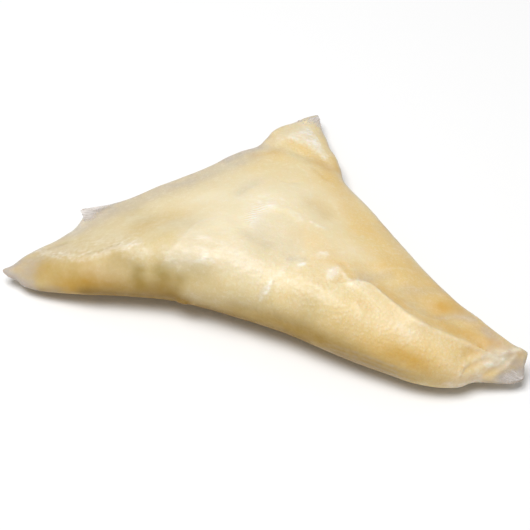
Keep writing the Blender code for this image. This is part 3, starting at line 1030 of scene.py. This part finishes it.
# %% Stripe the low edge
LOW_EDGE = ((330, 352), (355, 361), (376, 369), (399, 378), (420, 384))
STRIPES = ((0.0010, 0.50), (0.0024, 0.45), (0.0039, 0.40))  # metres off the edge, and amount
STRIPE_WIDTH = 0.00045
low_edge = gap_from(trace(*LOW_EDGE), 0.006)[0]
low_edge += 0.0003 * ripples(0.0040, 67)
fading_in = near(0.0060, (346, 356), (372, 364), (388, 370))
# painted contact shade along the low edge, in a soaked colour
contact_shade_and_soak += 0.45 * band(low_edge, 0, 0.0034) * near(0.0050, (342, 354), (360, 361), (376, 367))
for off_edge, amount in STRIPES:
    stripe = band(low_edge, off_edge, STRIPE_WIDTH) * fading_in * flecked
    sheer += amount * stripe
    height += 0.00007 * stripe
print("the stripes touch", int((fading_in > 0.5).sum()), "points")

# %% [markdown]
# ### The mouth
# The roll ends in an open mouth, where the strip began. Its sheets stick together in sharp folds: a bright
# facet above, a hollow before it, and a grey flap that light passes through.

# %% Fold the mouth
MOUTH_RELIEF = (  # sharp folds, and the hollows between them
    (0.00024, near, 0.0010, (459, 375), (461, 369), (464, 364), (469, 360), (479, 357)),
    (0.00018, near, 0.0009, (466, 374), (474, 371), (484, 365), (494, 360)),
    (-0.00020, near, 0.0016, (467, 356), (472, 352), (479, 351)),
    (-0.00010, near, 0.0010, (467, 368), (476, 364), (486, 358)),
    (-0.00020, near, 0.0010, (478, 378), (490, 373), (500, 367), (508, 359)),
    (0.00014, near, 0.0013, (482, 350), (492, 354), (504, 352)),
    (0.00010, near, 0.0005, (484, 377), (494, 374), (503, 370)),
    (0.00018, near, 0.0007, (497, 376), (506, 366), (512, 360), (516, 355)),
    (0.00022, near, 0.0008, (500, 353), (510, 351), (520, 350)),
    (0.00012, near, 0.0005, (503, 380), (511, 376), (521, 376)),
    (-0.00012, near, 0.0006, (503, 373), (512, 371), (520, 370)),
    (-0.00014, near, 0.0007, (510, 354), (518, 354)),
)
STRANDS = (  # dry threads from the roll to the mouth's upper rim
    ((460, 373), (463, 367), (468, 363), (481, 357)),
    ((463, 375), (470, 368), (482, 363)),
    ((468, 377), (478, 369), (492, 362), (502, 357)),
    ((478, 374), (489, 367), (504, 361)),
)
BETWEEN_STRANDS = (  # the wet grooves between them
    ((461, 375), (466, 369), (474, 364)),
    ((470, 377), (480, 371), (492, 368)),
    ((480, 364), (492, 358)),
)
mouth = near(0.0045, (470, 368), (490, 364), (504, 362), (514, 372))
height += 0.00004 * creased(0.0014, 77, (1.8, 0.8, 1), turn=40) * mouth
height += 0.00003 * ripples(0.0007, 79, (3, 1, 1), turn=50) * mouth
for pixels in STRANDS:
    strand = flecked * near(0.0006, *pixels)
    height += 0.00009 * strand
    dry_white_and_highlight += 0.28 * strand
for pixels in BETWEEN_STRANDS:
    groove = near(0.0006, *pixels)
    height -= 0.00006 * groove
    tan += 0.20 * groove
brush(height, MOUTH_RELIEF)
print("the mouth has", len(STRANDS), "strands")

# %% Tint the mouth
MOUTH_PALE = (  # milky sheets
    (0.40, near, 0.0040, (450, 366), (462, 370), (480, 367), (500, 358)),
    (0.60, near, 0.0024, (458, 372), (464, 377), (474, 379)),
    (0.40, near, 0.0034, (482, 352), (494, 358), (500, 366)),
)
MOUTH_WHITE = (  # dry edges of the folds
    (0.12, near, 0.0024, (488, 360), (502, 357)),
    (0.35, near, 0.0006, (503, 352), (511, 350.5), (519, 350)),
    (0.35, near, 0.0005, (506, 366), (511, 360.5), (516, 355)),
)
MOUTH_FLAKES = (  # flaky fold tops
    (0.25, near, 0.0009, (459, 375), (461, 369), (464, 364), (469, 360)),
    (0.15, near, 0.0009, (472, 372), (484, 366), (494, 361)),
    (0.24, stain, 0.0024, (488, 357), (496, 358), (504, 356)),
    (0.40, near, 0.0006, (507, 377), (513, 380), (519, 376)),
)
MOUTH_BUTTER = (  # butter on the roll's end
    (0.60, near, 0.0040, (454, 356), (460, 368), (480, 365)),
)
MOUTH_TAN = (  # soaked hollows
    (0.16, near, 0.0016, (460, 364), (464, 356)),
    (0.40, stain, 0.0022, (469, 350), (477, 350.5)),
    (0.20, near, 0.0024, (474, 377), (484, 373), (495, 368)),
    (0.16, stain, 0.0014, (478, 377), (486, 375.5), (498, 373)),
    (0.16, near, 0.0016, (494, 341), (508, 348)),
    (0.25, near, 0.0008, (508, 354), (516, 354), (522, 353)),
    (0.30, stain, 0.0016, (514, 360), (518, 366)),
)
MOUTH_OLIVE = (  # the dark inside
    (0.25, stain, 0.0012, (511, 360), (513, 368)),
)
MOUTH_SHEER = (  # see-through flap and lining
    (0.26, stain, 0.0022, (488, 357), (502, 359)),
    (0.55, stain, 0.0020, (504, 376), (512, 374), (520, 376)),
    (0.30, stain, 0.0016, (516, 362), (521, 366)),
)
MOUTH_GLOSS = (  # wet shine
    (0.60, stain, 0.0040, (480, 362), (500, 358), (514, 374)),
)
INNER_SHEET = ((508, 357), (522, 353), (522, 372), (506, 379), (494, 378))
inner_sheet = patch(0.0007, *INNER_SHEET)
sheer += 0.20 * inner_sheet
tan += 0.22 * inner_sheet
brush(pale_and_highlight, MOUTH_PALE)
brush(dry_white_and_highlight, MOUTH_WHITE)
brush(dry_white_and_highlight, MOUTH_FLAKES, flecked)
brush(butter, MOUTH_BUTTER)
brush(tan, MOUTH_TAN)
brush(olive, MOUTH_OLIVE)
brush(sheer, MOUTH_SHEER)
brush(gloss, MOUTH_GLOSS)
print("the inner sheet has", int((inner_sheet > 0.5).sum()), "points")

# %% [markdown]
# ### Rims
# Along the outline the sheets hang free, and light comes through them, so they look grey. One part of the
# tint follows the packet's thickness. The other follows how far the skin has turned from the photo's view:
# it is strongest on the outline there, fades quickly over the far side, and fades slowly over the near one.

# %% Find the thin rims
THIN_AT, THICK_AT = 0.0012, 0.0044  # metres of packet, straight down
RIM_REACH = 0.0080  # metres off a rim's line
FAR_SPREAD = 0.18  # how far a rim's tint spreads over the far side
LEFT_LEG = (
    (88, 209), (98, 207), (112, 204), (130, 199), (162, 185), (189, 176.5), (216, 164.5), (235, 153.5),
)
APEX_RIM = (
    (235, 153.5), (258, 147), (268, 141), (277, 134.5), (291, 124.5), (306, 119),
    (320, 122), (326, 143), (339, 170),
)
TAIL_RIM = ((8, 271), (35, 252), (50, 245), (62, 238.5), (74, 232), (84, 223), (86, 216))
RIGHT_LEG = (
    (339, 170), (345, 186), (362, 201), (385, 225), (402, 245), (422, 269),
    (443, 289), (476, 318), (494, 333), (508, 345), (520, 349), (526, 354),
)
RIMS = (
    # the rim, its amount, and how far it spreads over the near side
    (LEFT_LEG, 0.78, 0.50),
    (APEX_RIM, 0.32, 0.46),
    (TAIL_RIM, 0.52, 0.55),
    (RIGHT_LEG, 0.66, 0.24),
)
sheer += 0.6 * (1 - ease(thick * ragged, THIN_AT, THICK_AT))
rim_sheer = np.zeros(len(places))
for rim, amount, near_spread in RIMS:
    spread_here = np.where(facing_camera > 0, near_spread, FAR_SPREAD)
    along_rim = band(facing_camera * ragged, 0, spread_here) * near(RIM_REACH, *rim)
    rim_sheer = np.maximum(rim_sheer, amount * along_rim)
sheer += rim_sheer
print("sheer rims:", round(100 * float(np.clip(sheer, 0, 1).mean())), "% of the skin")

# %% [markdown]
# ### The filling and the hand
# Last come the soft unevenness of the filling, and the fine pucker of damp dough everywhere. Then the
# points move, except at the floor, so that the packet still rests flat.

# %% Move the skin and store its tints
height += 0.00018 * ripples(0.011, 3)  # lumps of filling
height += 0.00007 * ripples(0.0045, 11, (1.6, 0.8, 1), turn=20)
height += 0.000025 * ripples(0.0016, 23, (1.5, 1, 1), turn=20)  # damp dough
above_floor = ease(places[:, 2], 0.0003, 0.0025)
move_points(skin.data, places + outward * (height * above_floor)[:, None])

TINTS = {"pale_and_highlight": pale_and_highlight, "dry_white_and_highlight": dry_white_and_highlight, "butter": butter, "tan": tan, "olive": olive, "sheer": sheer}
FINISHES = {"gloss": gloss, "ribs_and_highlight": ribs_and_highlight, "shade_and_soak": shade_and_soak, "contact_shade_and_soak": contact_shade_and_soak, "pebbled": pebbled}
for name, values in {**TINTS, **FINISHES}.items():
    attribute = skin.data.attributes.new(name, "FLOAT", "POINT")
    attribute.data.foreach_set("value", np.clip(values, 0, 1).astype(np.float32))
print("the skin moved by up to", round(1000 * float(np.abs(height).max()), 2), "mm")

# %% [markdown]
# The underside is smooth and lies on the table, so its fine faces are wasted. A Decimate modifier thins
# them out through a vertex group, and leaves the rest as it is.

# %% Thin out the underside
SKIN_KEEPS = 0.64  # of all faces
FACES_DOWN = -0.3  # an outward direction's height below which the skin counts as the underside
underside = skin.vertex_groups.new(name="underside")
resting = np.flatnonzero(outward[:, 2] < FACES_DOWN)
underside.add(resting.tolist(), 1, "REPLACE")
thin_out = skin.modifiers.new("thin out", "DECIMATE")
thin_out.vertex_group = underside.name
thin_out.ratio = SKIN_KEEPS
applied(skin)
print("the skin keeps", sum(len(p.vertices) - 2 for p in skin.data.polygons), "triangles")

# %% [markdown]
# ## Sums of sockets
# A finish is a sum of noises and masks. In Blender each plus or times is a node of its own, which is slow
# to read. The small class below stands for a socket and takes Python's own signs. So a sum such as
# `1 - mask * 0.5` makes its nodes by itself.

# %% A socket that takes part in sums


class Wire:
    def __init__(self, graph, socket):
        self.graph, self.socket = graph, socket

    def __add__(self, other):
        return self.graph.math("ADD", self, other)

    def __sub__(self, other):
        return self.graph.math("SUBTRACT", self, other)

    def __rsub__(self, other):
        return self.graph.math("SUBTRACT", other, self)

    def __mul__(self, other):
        return self.graph.math("MULTIPLY", self, other)

    def __pow__(self, other):
        return self.graph.math("POWER", self, other)

    __radd__ = __add__
    __rmul__ = __mul__


print("a Wire takes + - * and **")

# %% A new material and its nodes


class Graph:
    """A new material's nodes."""

    def __init__(self, name):
        self.material = bpy.data.materials.new(name)
        self.material.use_nodes = True
        self.tree = self.material.node_tree
        self.tree.nodes.clear()

    def node(self, kind, settings=None, inputs=None, output=0):
        """Makes a node: its settings, then its sockets' values or wires. Gives one of its outputs."""
        made = self.tree.nodes.new("ShaderNode" + kind)
        for name, value in (settings or {}).items():
            setattr(made, name, value)
        for name, value in (inputs or {}).items():
            if isinstance(value, Wire):
                self.tree.links.new(value.socket, made.inputs[name])
            else:
                made.inputs[name].default_value = value
        return Wire(self, made.outputs[output]) if made.outputs else None

    def math(self, operation, a, b):
        return self.node("Math", {"operation": operation}, {0: a, 1: b})

    def blend(self, factor, a, b):
        """A colour between a and b."""
        settings = {"data_type": "RGBA", "clamp_factor": True}
        return self.node("Mix", settings, {0: factor, 6: a, 7: b}, output=2)

    def between(self, value, low, high):
        """0 at low and 1 at high, with soft ends."""
        settings = {"interpolation_type": "SMOOTHSTEP"}
        return self.node("MapRange", settings, {"Value": value, "From Min": low, "From Max": high})

    def mask(self, name):
        return self.node("Attribute", {"attribute_name": name}, output=2)

    def stretched(self, place, turn, stretch, scale):
        """Noise in streaks along a direction, which is turn degrees from the X axis in the plan."""
        inputs = {"Vector": place, "Rotation": (0, 0, math.radians(turn)), "Scale": (stretch, 1, 1)}
        turned = self.node("Mapping", {"vector_type": "TEXTURE"}, inputs)
        return self.node("TexNoise", None, {"Vector": turned, "Scale": scale, "Detail": 4, "Roughness": 0.7})


print("a Graph makes nodes by their type's name")

# %% Colours as a screen shows them


def rgb(red, green, blue):
    """A colour as a screen shows it, from 0 to 255 but not nearly black, made linear."""
    linear = (((shade / 255 + 0.055) / 1.055) ** 2.4 for shade in (red, green, blue))
    return (*linear, 1.0)


print("a screen's middle grey is", round(rgb(128, 128, 128)[0], 3), "in linear light")

# %% [markdown]
# ## The phyllo's finish
# Phyllo before the oven is cream, with deeper yellow where several sheets lie on each other. Butter makes
# it satin, not shiny. Light goes a few millimetres in, so subsurface scattering softens every shade.
#
# The colours lie over each other in the order in which they come about: the dough first, then what soaks
# into it and the painted shade below, then the dry white and the painted highlights on top. Noise breaks each
# of them up, so that no tint has a smooth edge.

# %% Choose the colours
CREAM = rgb(229, 213, 169)
CREAM_DEEP = rgb(226, 202, 141)
BUTTER = rgb(236, 203, 130)
TAN = rgb(213, 165, 66)
OLIVE = rgb(164, 138, 66)
PALE_AND_HIGHLIGHT = rgb(240, 227, 192)
DRY_WHITE_AND_HIGHLIGHT = rgb(249, 243, 229)
SHEER = rgb(185, 174, 163)
SHADE_AND_SOAK = rgb(168, 134, 54)
SOAK_AND_CONTACT_SHADE = rgb(142, 108, 22)
print("fresh dough is", [round(v, 2) for v in CREAM[:3]], "in linear light")

# %% Make the phyllo


def phyllo_finish(name):
    g = Graph(name)
    here = g.node("TexCoord", output=3)
    cloud = g.node("TexNoise", None, {"Vector": here, "Scale": 90, "Detail": 4, "Roughness": 0.6})
    mottle = g.node("TexNoise", None, {"Vector": here, "Scale": 300, "Detail": 3, "Roughness": 0.55})
    grain = g.node("TexNoise", None, {"Vector": here, "Scale": 800, "Detail": 4, "Roughness": 0.7})
    speckle = g.node("TexNoise", None, {"Vector": here, "Scale": 2200, "Detail": 2, "Roughness": 0.6})
    fibre = g.stretched(here, turn=8, stretch=3.2, scale=900)
    rib_angle = {"Vector": here, "Rotation": (0, 0, math.radians(38))}
    across_ribs = g.node("Mapping", {"vector_type": "TEXTURE"}, rib_angle)
    bands = {"wave_type": "BANDS", "bands_direction": "Y"}
    fine_waves = {"Vector": across_ribs, "Scale": 400, "Distortion": 5, "Detail": 3}
    ribs = g.node("TexWave", bands, fine_waves, output=1)
    cells = {"Vector": here, "Scale": 1150, "Smoothness": 0.6}
    crumbs = g.node("TexVoronoi", {"feature": "SMOOTH_F1"}, cells)

    uneven = 0.4 + cloud * 0.6 + mottle * 0.6
    above = 1 - g.mask("shade_and_soak")
    dry = above * (1 - g.mask("tan")) * (1 - g.mask("olive")) ** 2
    strokes = g.between(fibre, 0.46, 0.62)
    colour = g.blend(g.between(cloud * 0.6 + mottle * 0.4, 0.38, 0.62) * 0.75, CREAM, CREAM_DEEP)
    # pale sheets, and painted highlights on lit lips
    colour = g.blend(g.mask("pale_and_highlight") * (0.6 + cloud * 0.8), colour, PALE_AND_HIGHLIGHT)
    colour = g.blend(g.mask("butter") * uneven * 0.85, colour, BUTTER)
    colour = g.blend(g.mask("tan") * uneven, colour, TAN)
    colour = g.blend(g.mask("olive") * uneven, colour, OLIVE)
    # painted shade, in a soaked colour, where the underside turns in
    colour = g.blend(g.mask("shade_and_soak") * (0.8 + mottle * 0.3), colour, SHADE_AND_SOAK)
    colour = g.blend(g.mask("sheer") * uneven, colour, SHEER)
    # painted contact shade and soaked butter along the low edges
    colour = g.blend(g.mask("contact_shade_and_soak") * (0.8 + mottle * 0.3), colour, SOAK_AND_CONTACT_SHADE)
    # dry white sheets, and painted highlights on lips, glints, the crescent and the facet
    colour = g.blend(g.mask("dry_white_and_highlight") * (0.40 + strokes * 0.55 + grain * 0.35), colour, DRY_WHITE_AND_HIGHLIGHT)
    # painted highlights on the crescent's ribs, with butter between them
    colour = g.blend(g.mask("ribs_and_highlight") * (1 - g.between(ribs, 0.3, 0.7)) * 0.5, colour, BUTTER)
    colour = g.blend(g.mask("ribs_and_highlight") * (0.1 + g.between(ribs, 0.4, 0.8) * 0.9), colour, DRY_WHITE_AND_HIGHLIGHT)
    colour = g.blend(g.between(mottle, 0.50, 0.72) * dry * 0.12, colour, DRY_WHITE_AND_HIGHLIGHT)
    colour = g.blend(g.between(grain, 0.50, 0.66) * dry * 0.16, colour, DRY_WHITE_AND_HIGHLIGHT)
    colour = g.blend(g.between(speckle, 0.52, 0.66) * dry * 0.14, colour, DRY_WHITE_AND_HIGHLIGHT)
    colour = g.blend(g.between(crumbs, 0.35, 0.75) * g.mask("pebbled") * 0.12, colour, CREAM_DEEP)
    colour = g.blend(g.between(crumbs, 0.45, 0.05) * g.mask("pebbled") * dry * 0.18, colour, DRY_WHITE_AND_HIGHLIGHT)

    roughness = 0.47 + (mottle - 0.5) * 0.4 - g.mask("gloss") * 0.2
    crinkled = (0.14 + g.mask("dry_white_and_highlight") * 0.4) * (1 - g.mask("pebbled") * 0.8)
    relief = grain * 0.30 + speckle * 0.18 + fibre * crinkled + ribs * g.mask("ribs_and_highlight") * 0.5
    relief = relief - crumbs * (0.06 + g.mask("pebbled") * 0.7)
    bump = g.node("Bump", None, {"Strength": 0.8, "Distance": 0.00026, "Height": relief})
    shader = g.node(
        "BsdfPrincipled",
        {"subsurface_method": "RANDOM_WALK"},
        {
            "Base Color": colour,
            "Roughness": roughness,
            "Normal": bump,
            "Coat Weight": (0.14 + g.mask("gloss") * 0.5 + g.mask("dry_white_and_highlight") * 0.2) * above,
            "Subsurface Weight": 0.35,
            "Subsurface Radius": (1.0, 0.62, 0.32),
            "Subsurface Scale": 0.002,
            "IOR": 1.38,
            "Coat Roughness": 0.22,
        },
    )
    g.node("OutputMaterial", None, {"Surface": shader})
    return g.material


phyllo = phyllo_finish("phyllo")
skin.data.materials.clear()
skin.data.materials.append(phyllo)
skin.data.shade_smooth()
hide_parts("phyllo_packet")
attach(skin, "root")
print("the phyllo has", len(phyllo.node_tree.nodes), "nodes")

# %% [markdown]
# ## Loose corners
# A cut sheet sticks out at the wisp on the left leg, at the tail's tip, below the mouth and at the apex. A
# single sheet of phyllo is about a fifth of a millimetre thick and lets most light through. Each one is a
# grid between two lines: the one where it leaves the packet, and its torn edge. The wisp and the mouth have
# two sheets each, which don't quite agree.

# %% Make a thin sheet between two lines
SHEET_THICKNESS = 0.00018


def at_height(px, py, z):
    """The place seen at a pixel that is z metres above the floor."""
    ray = ray_through(px, py)
    return camera.location + ray * ((z - camera.location.z) / ray.z)


def spread(corners, count):
    """Points at even steps along a line through corners: pixel x, pixel y, and height in millimetres."""
    knots = np.array([at_height(px, py, mm / 1000) for px, py, mm in corners])
    steps = np.concatenate([[0], np.cumsum(np.linalg.norm(np.diff(knots, axis=0), axis=1))])
    wanted = np.linspace(0, steps[-1], count)
    return np.array([np.interp(wanted, steps, knots[:, axis]) for axis in range(3)]).T


def loose_sheet(name, root, tip, seed, columns=40, rows=16, tear=0.10, wave=0.00012):
    """A sheet from the root line to the torn tip line."""
    start, end = spread(root, columns), spread(tip, columns)
    mesh, grid = bmesh.new(), []
    out_at, across_at = (mesh.verts.layers.float.new(layer) for layer in ("out", "across"))
    for i in range(columns):
        bites = 0.5 + noise.noise(Vector((i * 0.31, seed, 0)))
        nicks = noise.noise(Vector((i * 1.3, seed, 5)))
        torn = 1 - tear * bites - 0.4 * tear * nicks
        for j in range(rows):
            out = j / (rows - 1)
            place = Vector(start[i] + (end[i] - start[i]) * out * torn)
            place.z += wave * noise.noise(Vector((i * 0.35, j * 0.22, seed))) * (0.3 + out)
            vertex = mesh.verts.new(place)
            vertex[out_at], vertex[across_at] = out, i / (columns - 1)
            grid.append(vertex)
    for i in range(columns - 1):
        for j in range(rows - 1):
            a, b = i * rows + j, (i + 1) * rows + j
            mesh.faces.new((grid[a], grid[b], grid[b + 1], grid[a + 1]))
    sheet = new_piece(name, bpy.data.meshes.new(name))
    mesh.to_mesh(sheet.data)
    mesh.free()
    solidify = sheet.modifiers.new("thickness", "SOLIDIFY")
    solidify.thickness = SHEET_THICKNESS
    solidify.offset = 0
    applied(sheet)
    sheet.data.shade_smooth()
    return sheet


print("a sheet is", round(1000 * SHEET_THICKNESS, 2), "mm thick")

# %% [markdown]
# The sheet's finish is mostly its transparency: it is clear where butter has soaked it, and milky in
# strands that run out from the root, where it was stretched.

# %% Make the sheet's finish
SHEET_CLEAR = rgb(220, 211, 203)
SHEET_MILKY = rgb(244, 239, 236)


def sheet_finish(name):
    g = Graph(name)
    out, across = g.mask("out"), g.mask("across")
    along = g.node("CombineXYZ", None, {"X": across * 26, "Y": out * 1.6})
    strand = g.node("TexNoise", None, {"Vector": along, "Scale": 1, "Detail": 4, "Roughness": 0.65})
    strands = g.between(strand, 0.35, 0.68)
    rooted = g.between(out, 0.0, 0.7) * g.between(across, 1.0, 0.7)
    hem = g.between(out, 0.82, 1.0)
    colour = g.blend(strands, SHEET_CLEAR, SHEET_MILKY)
    bump = g.node("Bump", None, {"Strength": 0.4, "Distance": 0.0001, "Height": strand})
    shader = g.node(
        "BsdfPrincipled",
        None,
        {
            "Base Color": colour,
            "Alpha": rooted * (0.34 + strands * 0.26 + hem * 0.24),
            "Normal": bump,
            "Roughness": 0.38,
            "IOR": 1.38,
            "Coat Weight": 0.15,
            "Coat Roughness": 0.15,
        },
    )
    g.node("OutputMaterial", None, {"Surface": shader})
    return g.material


single_sheet = sheet_finish("single_sheet")
print("strands run across", single_sheet.name)

# %% Lay the loose sheets
LOOSE_SHEETS = (
    # name, root and tip as pixel x, pixel y, millimetres high, then seed
    (
        "wisp_upper",
        ((116, 203.5, 7.8), (108, 209, 7.8), (101, 215, 7.6), (93, 224, 7.4)),
        ((86, 208.6, 7.2), (79, 210.8, 6.8), (82, 215, 6.8), (83.5, 222.5, 6.8)),
        1.0,
    ),
    (
        "wisp_lower",
        ((110, 205, 6.8), (102, 211, 6.6), (96, 217, 6.5), (89, 225, 6.4)),
        ((87, 208.8, 6.2), (81, 211.8, 5.8), (82.5, 216, 5.8), (84, 223, 6.0)),
        2.0,
    ),
    (
        "tail_sheet",
        ((24, 276, 5.4), (30, 280, 5.2), (40, 284, 4.8), (52, 288, 4.4)),
        ((16, 279.5, 3.8), (24, 287, 3.4), (36, 288, 3.2), (50, 291.5, 3.0)),
        4.0,
    ),
    (
        "mouth_flap",
        ((515, 356, 8.0), (508, 365, 7.2), (500, 373, 6.2), (492, 380, 5.4)),
        ((525, 357, 6.8), (523, 366, 5.8), (523.5, 379.5, 4.2), (505, 384.8, 3.6)),
        5.0,
    ),
    (
        "mouth_lining",
        ((516, 360, 6.6), (511, 369, 5.8), (505, 376, 5.0), (498, 381, 4.4)),
        ((525, 360, 6.0), (522.5, 370, 4.8), (521, 381, 3.4), (511, 385.6, 3.0)),
        6.0,
    ),
    (
        "apex_sheet",
        ((296, 127, 7.0), (304, 127, 7.0), (312, 127, 7.0), (318, 133, 7.0)),
        ((298, 120.2, 5.6), (308, 118.2, 5.4), (319.2, 116, 5.4), (323, 131, 5.8)),
        7.0,
    ),
)
for name, root, tip, seed in LOOSE_SHEETS:
    sheet = loose_sheet(name, root, tip, seed)
    sheet.data.materials.append(single_sheet)
    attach(sheet, "root")
print("there are", len(LOOSE_SHEETS), "loose sheets")

# %% [markdown]
# ## Floor and light
# The packet lies on a plain white sweep, under one wide soft light from the upper left and a bright room.

# %% Set the floor and the light
FLOOR_HALF, FLOOR_GAP = 3, 0.0002  # metres
floor_mesh = bpy.data.meshes.new("floor")
floor_corners = [(x * FLOOR_HALF, y * FLOOR_HALF, 0) for x, y in ((-1, -1), (1, -1), (1, 1), (-1, 1))]
floor_mesh.from_pydata(floor_corners, [], [(0, 1, 2, 3)])
floor = new_piece("floor", floor_mesh)
floor.location.z = -FLOOR_GAP
g = Graph("floor")
matte = g.node("BsdfPrincipled", None, {"Base Color": (0.93, 0.93, 0.93, 1), "Roughness": 0.9})
g.node("OutputMaterial", None, {"Surface": matte})
floor.data.materials.append(g.material)


def soft_light(name, place, size, power):
    data = bpy.data.lights.new(name, "AREA")
    data.size, data.energy = size, power
    lamp = bpy.data.objects.new(name, data)
    bpy.context.scene.collection.objects.link(lamp)
    lamp.location = place
    lamp.rotation_euler = (lamp.location - LOOK_AT).to_track_quat("Z", "Y").to_euler()


soft_light("key", place=(-0.14, -0.14, 0.90), size=0.50, power=7.55)
ROOM_LIGHT = 0.31

world = bpy.data.worlds.new("room")
bpy.context.scene.world = world
world.use_nodes = True
world.node_tree.nodes["Background"].inputs["Color"].default_value = (1, 1, 1, 1)
world.node_tree.nodes["Background"].inputs["Strength"].default_value = ROOM_LIGHT
bpy.context.scene.view_settings.view_transform = "Standard"
bpy.context.scene.view_settings.look = "None"
print("the room's light is", ROOM_LIGHT)
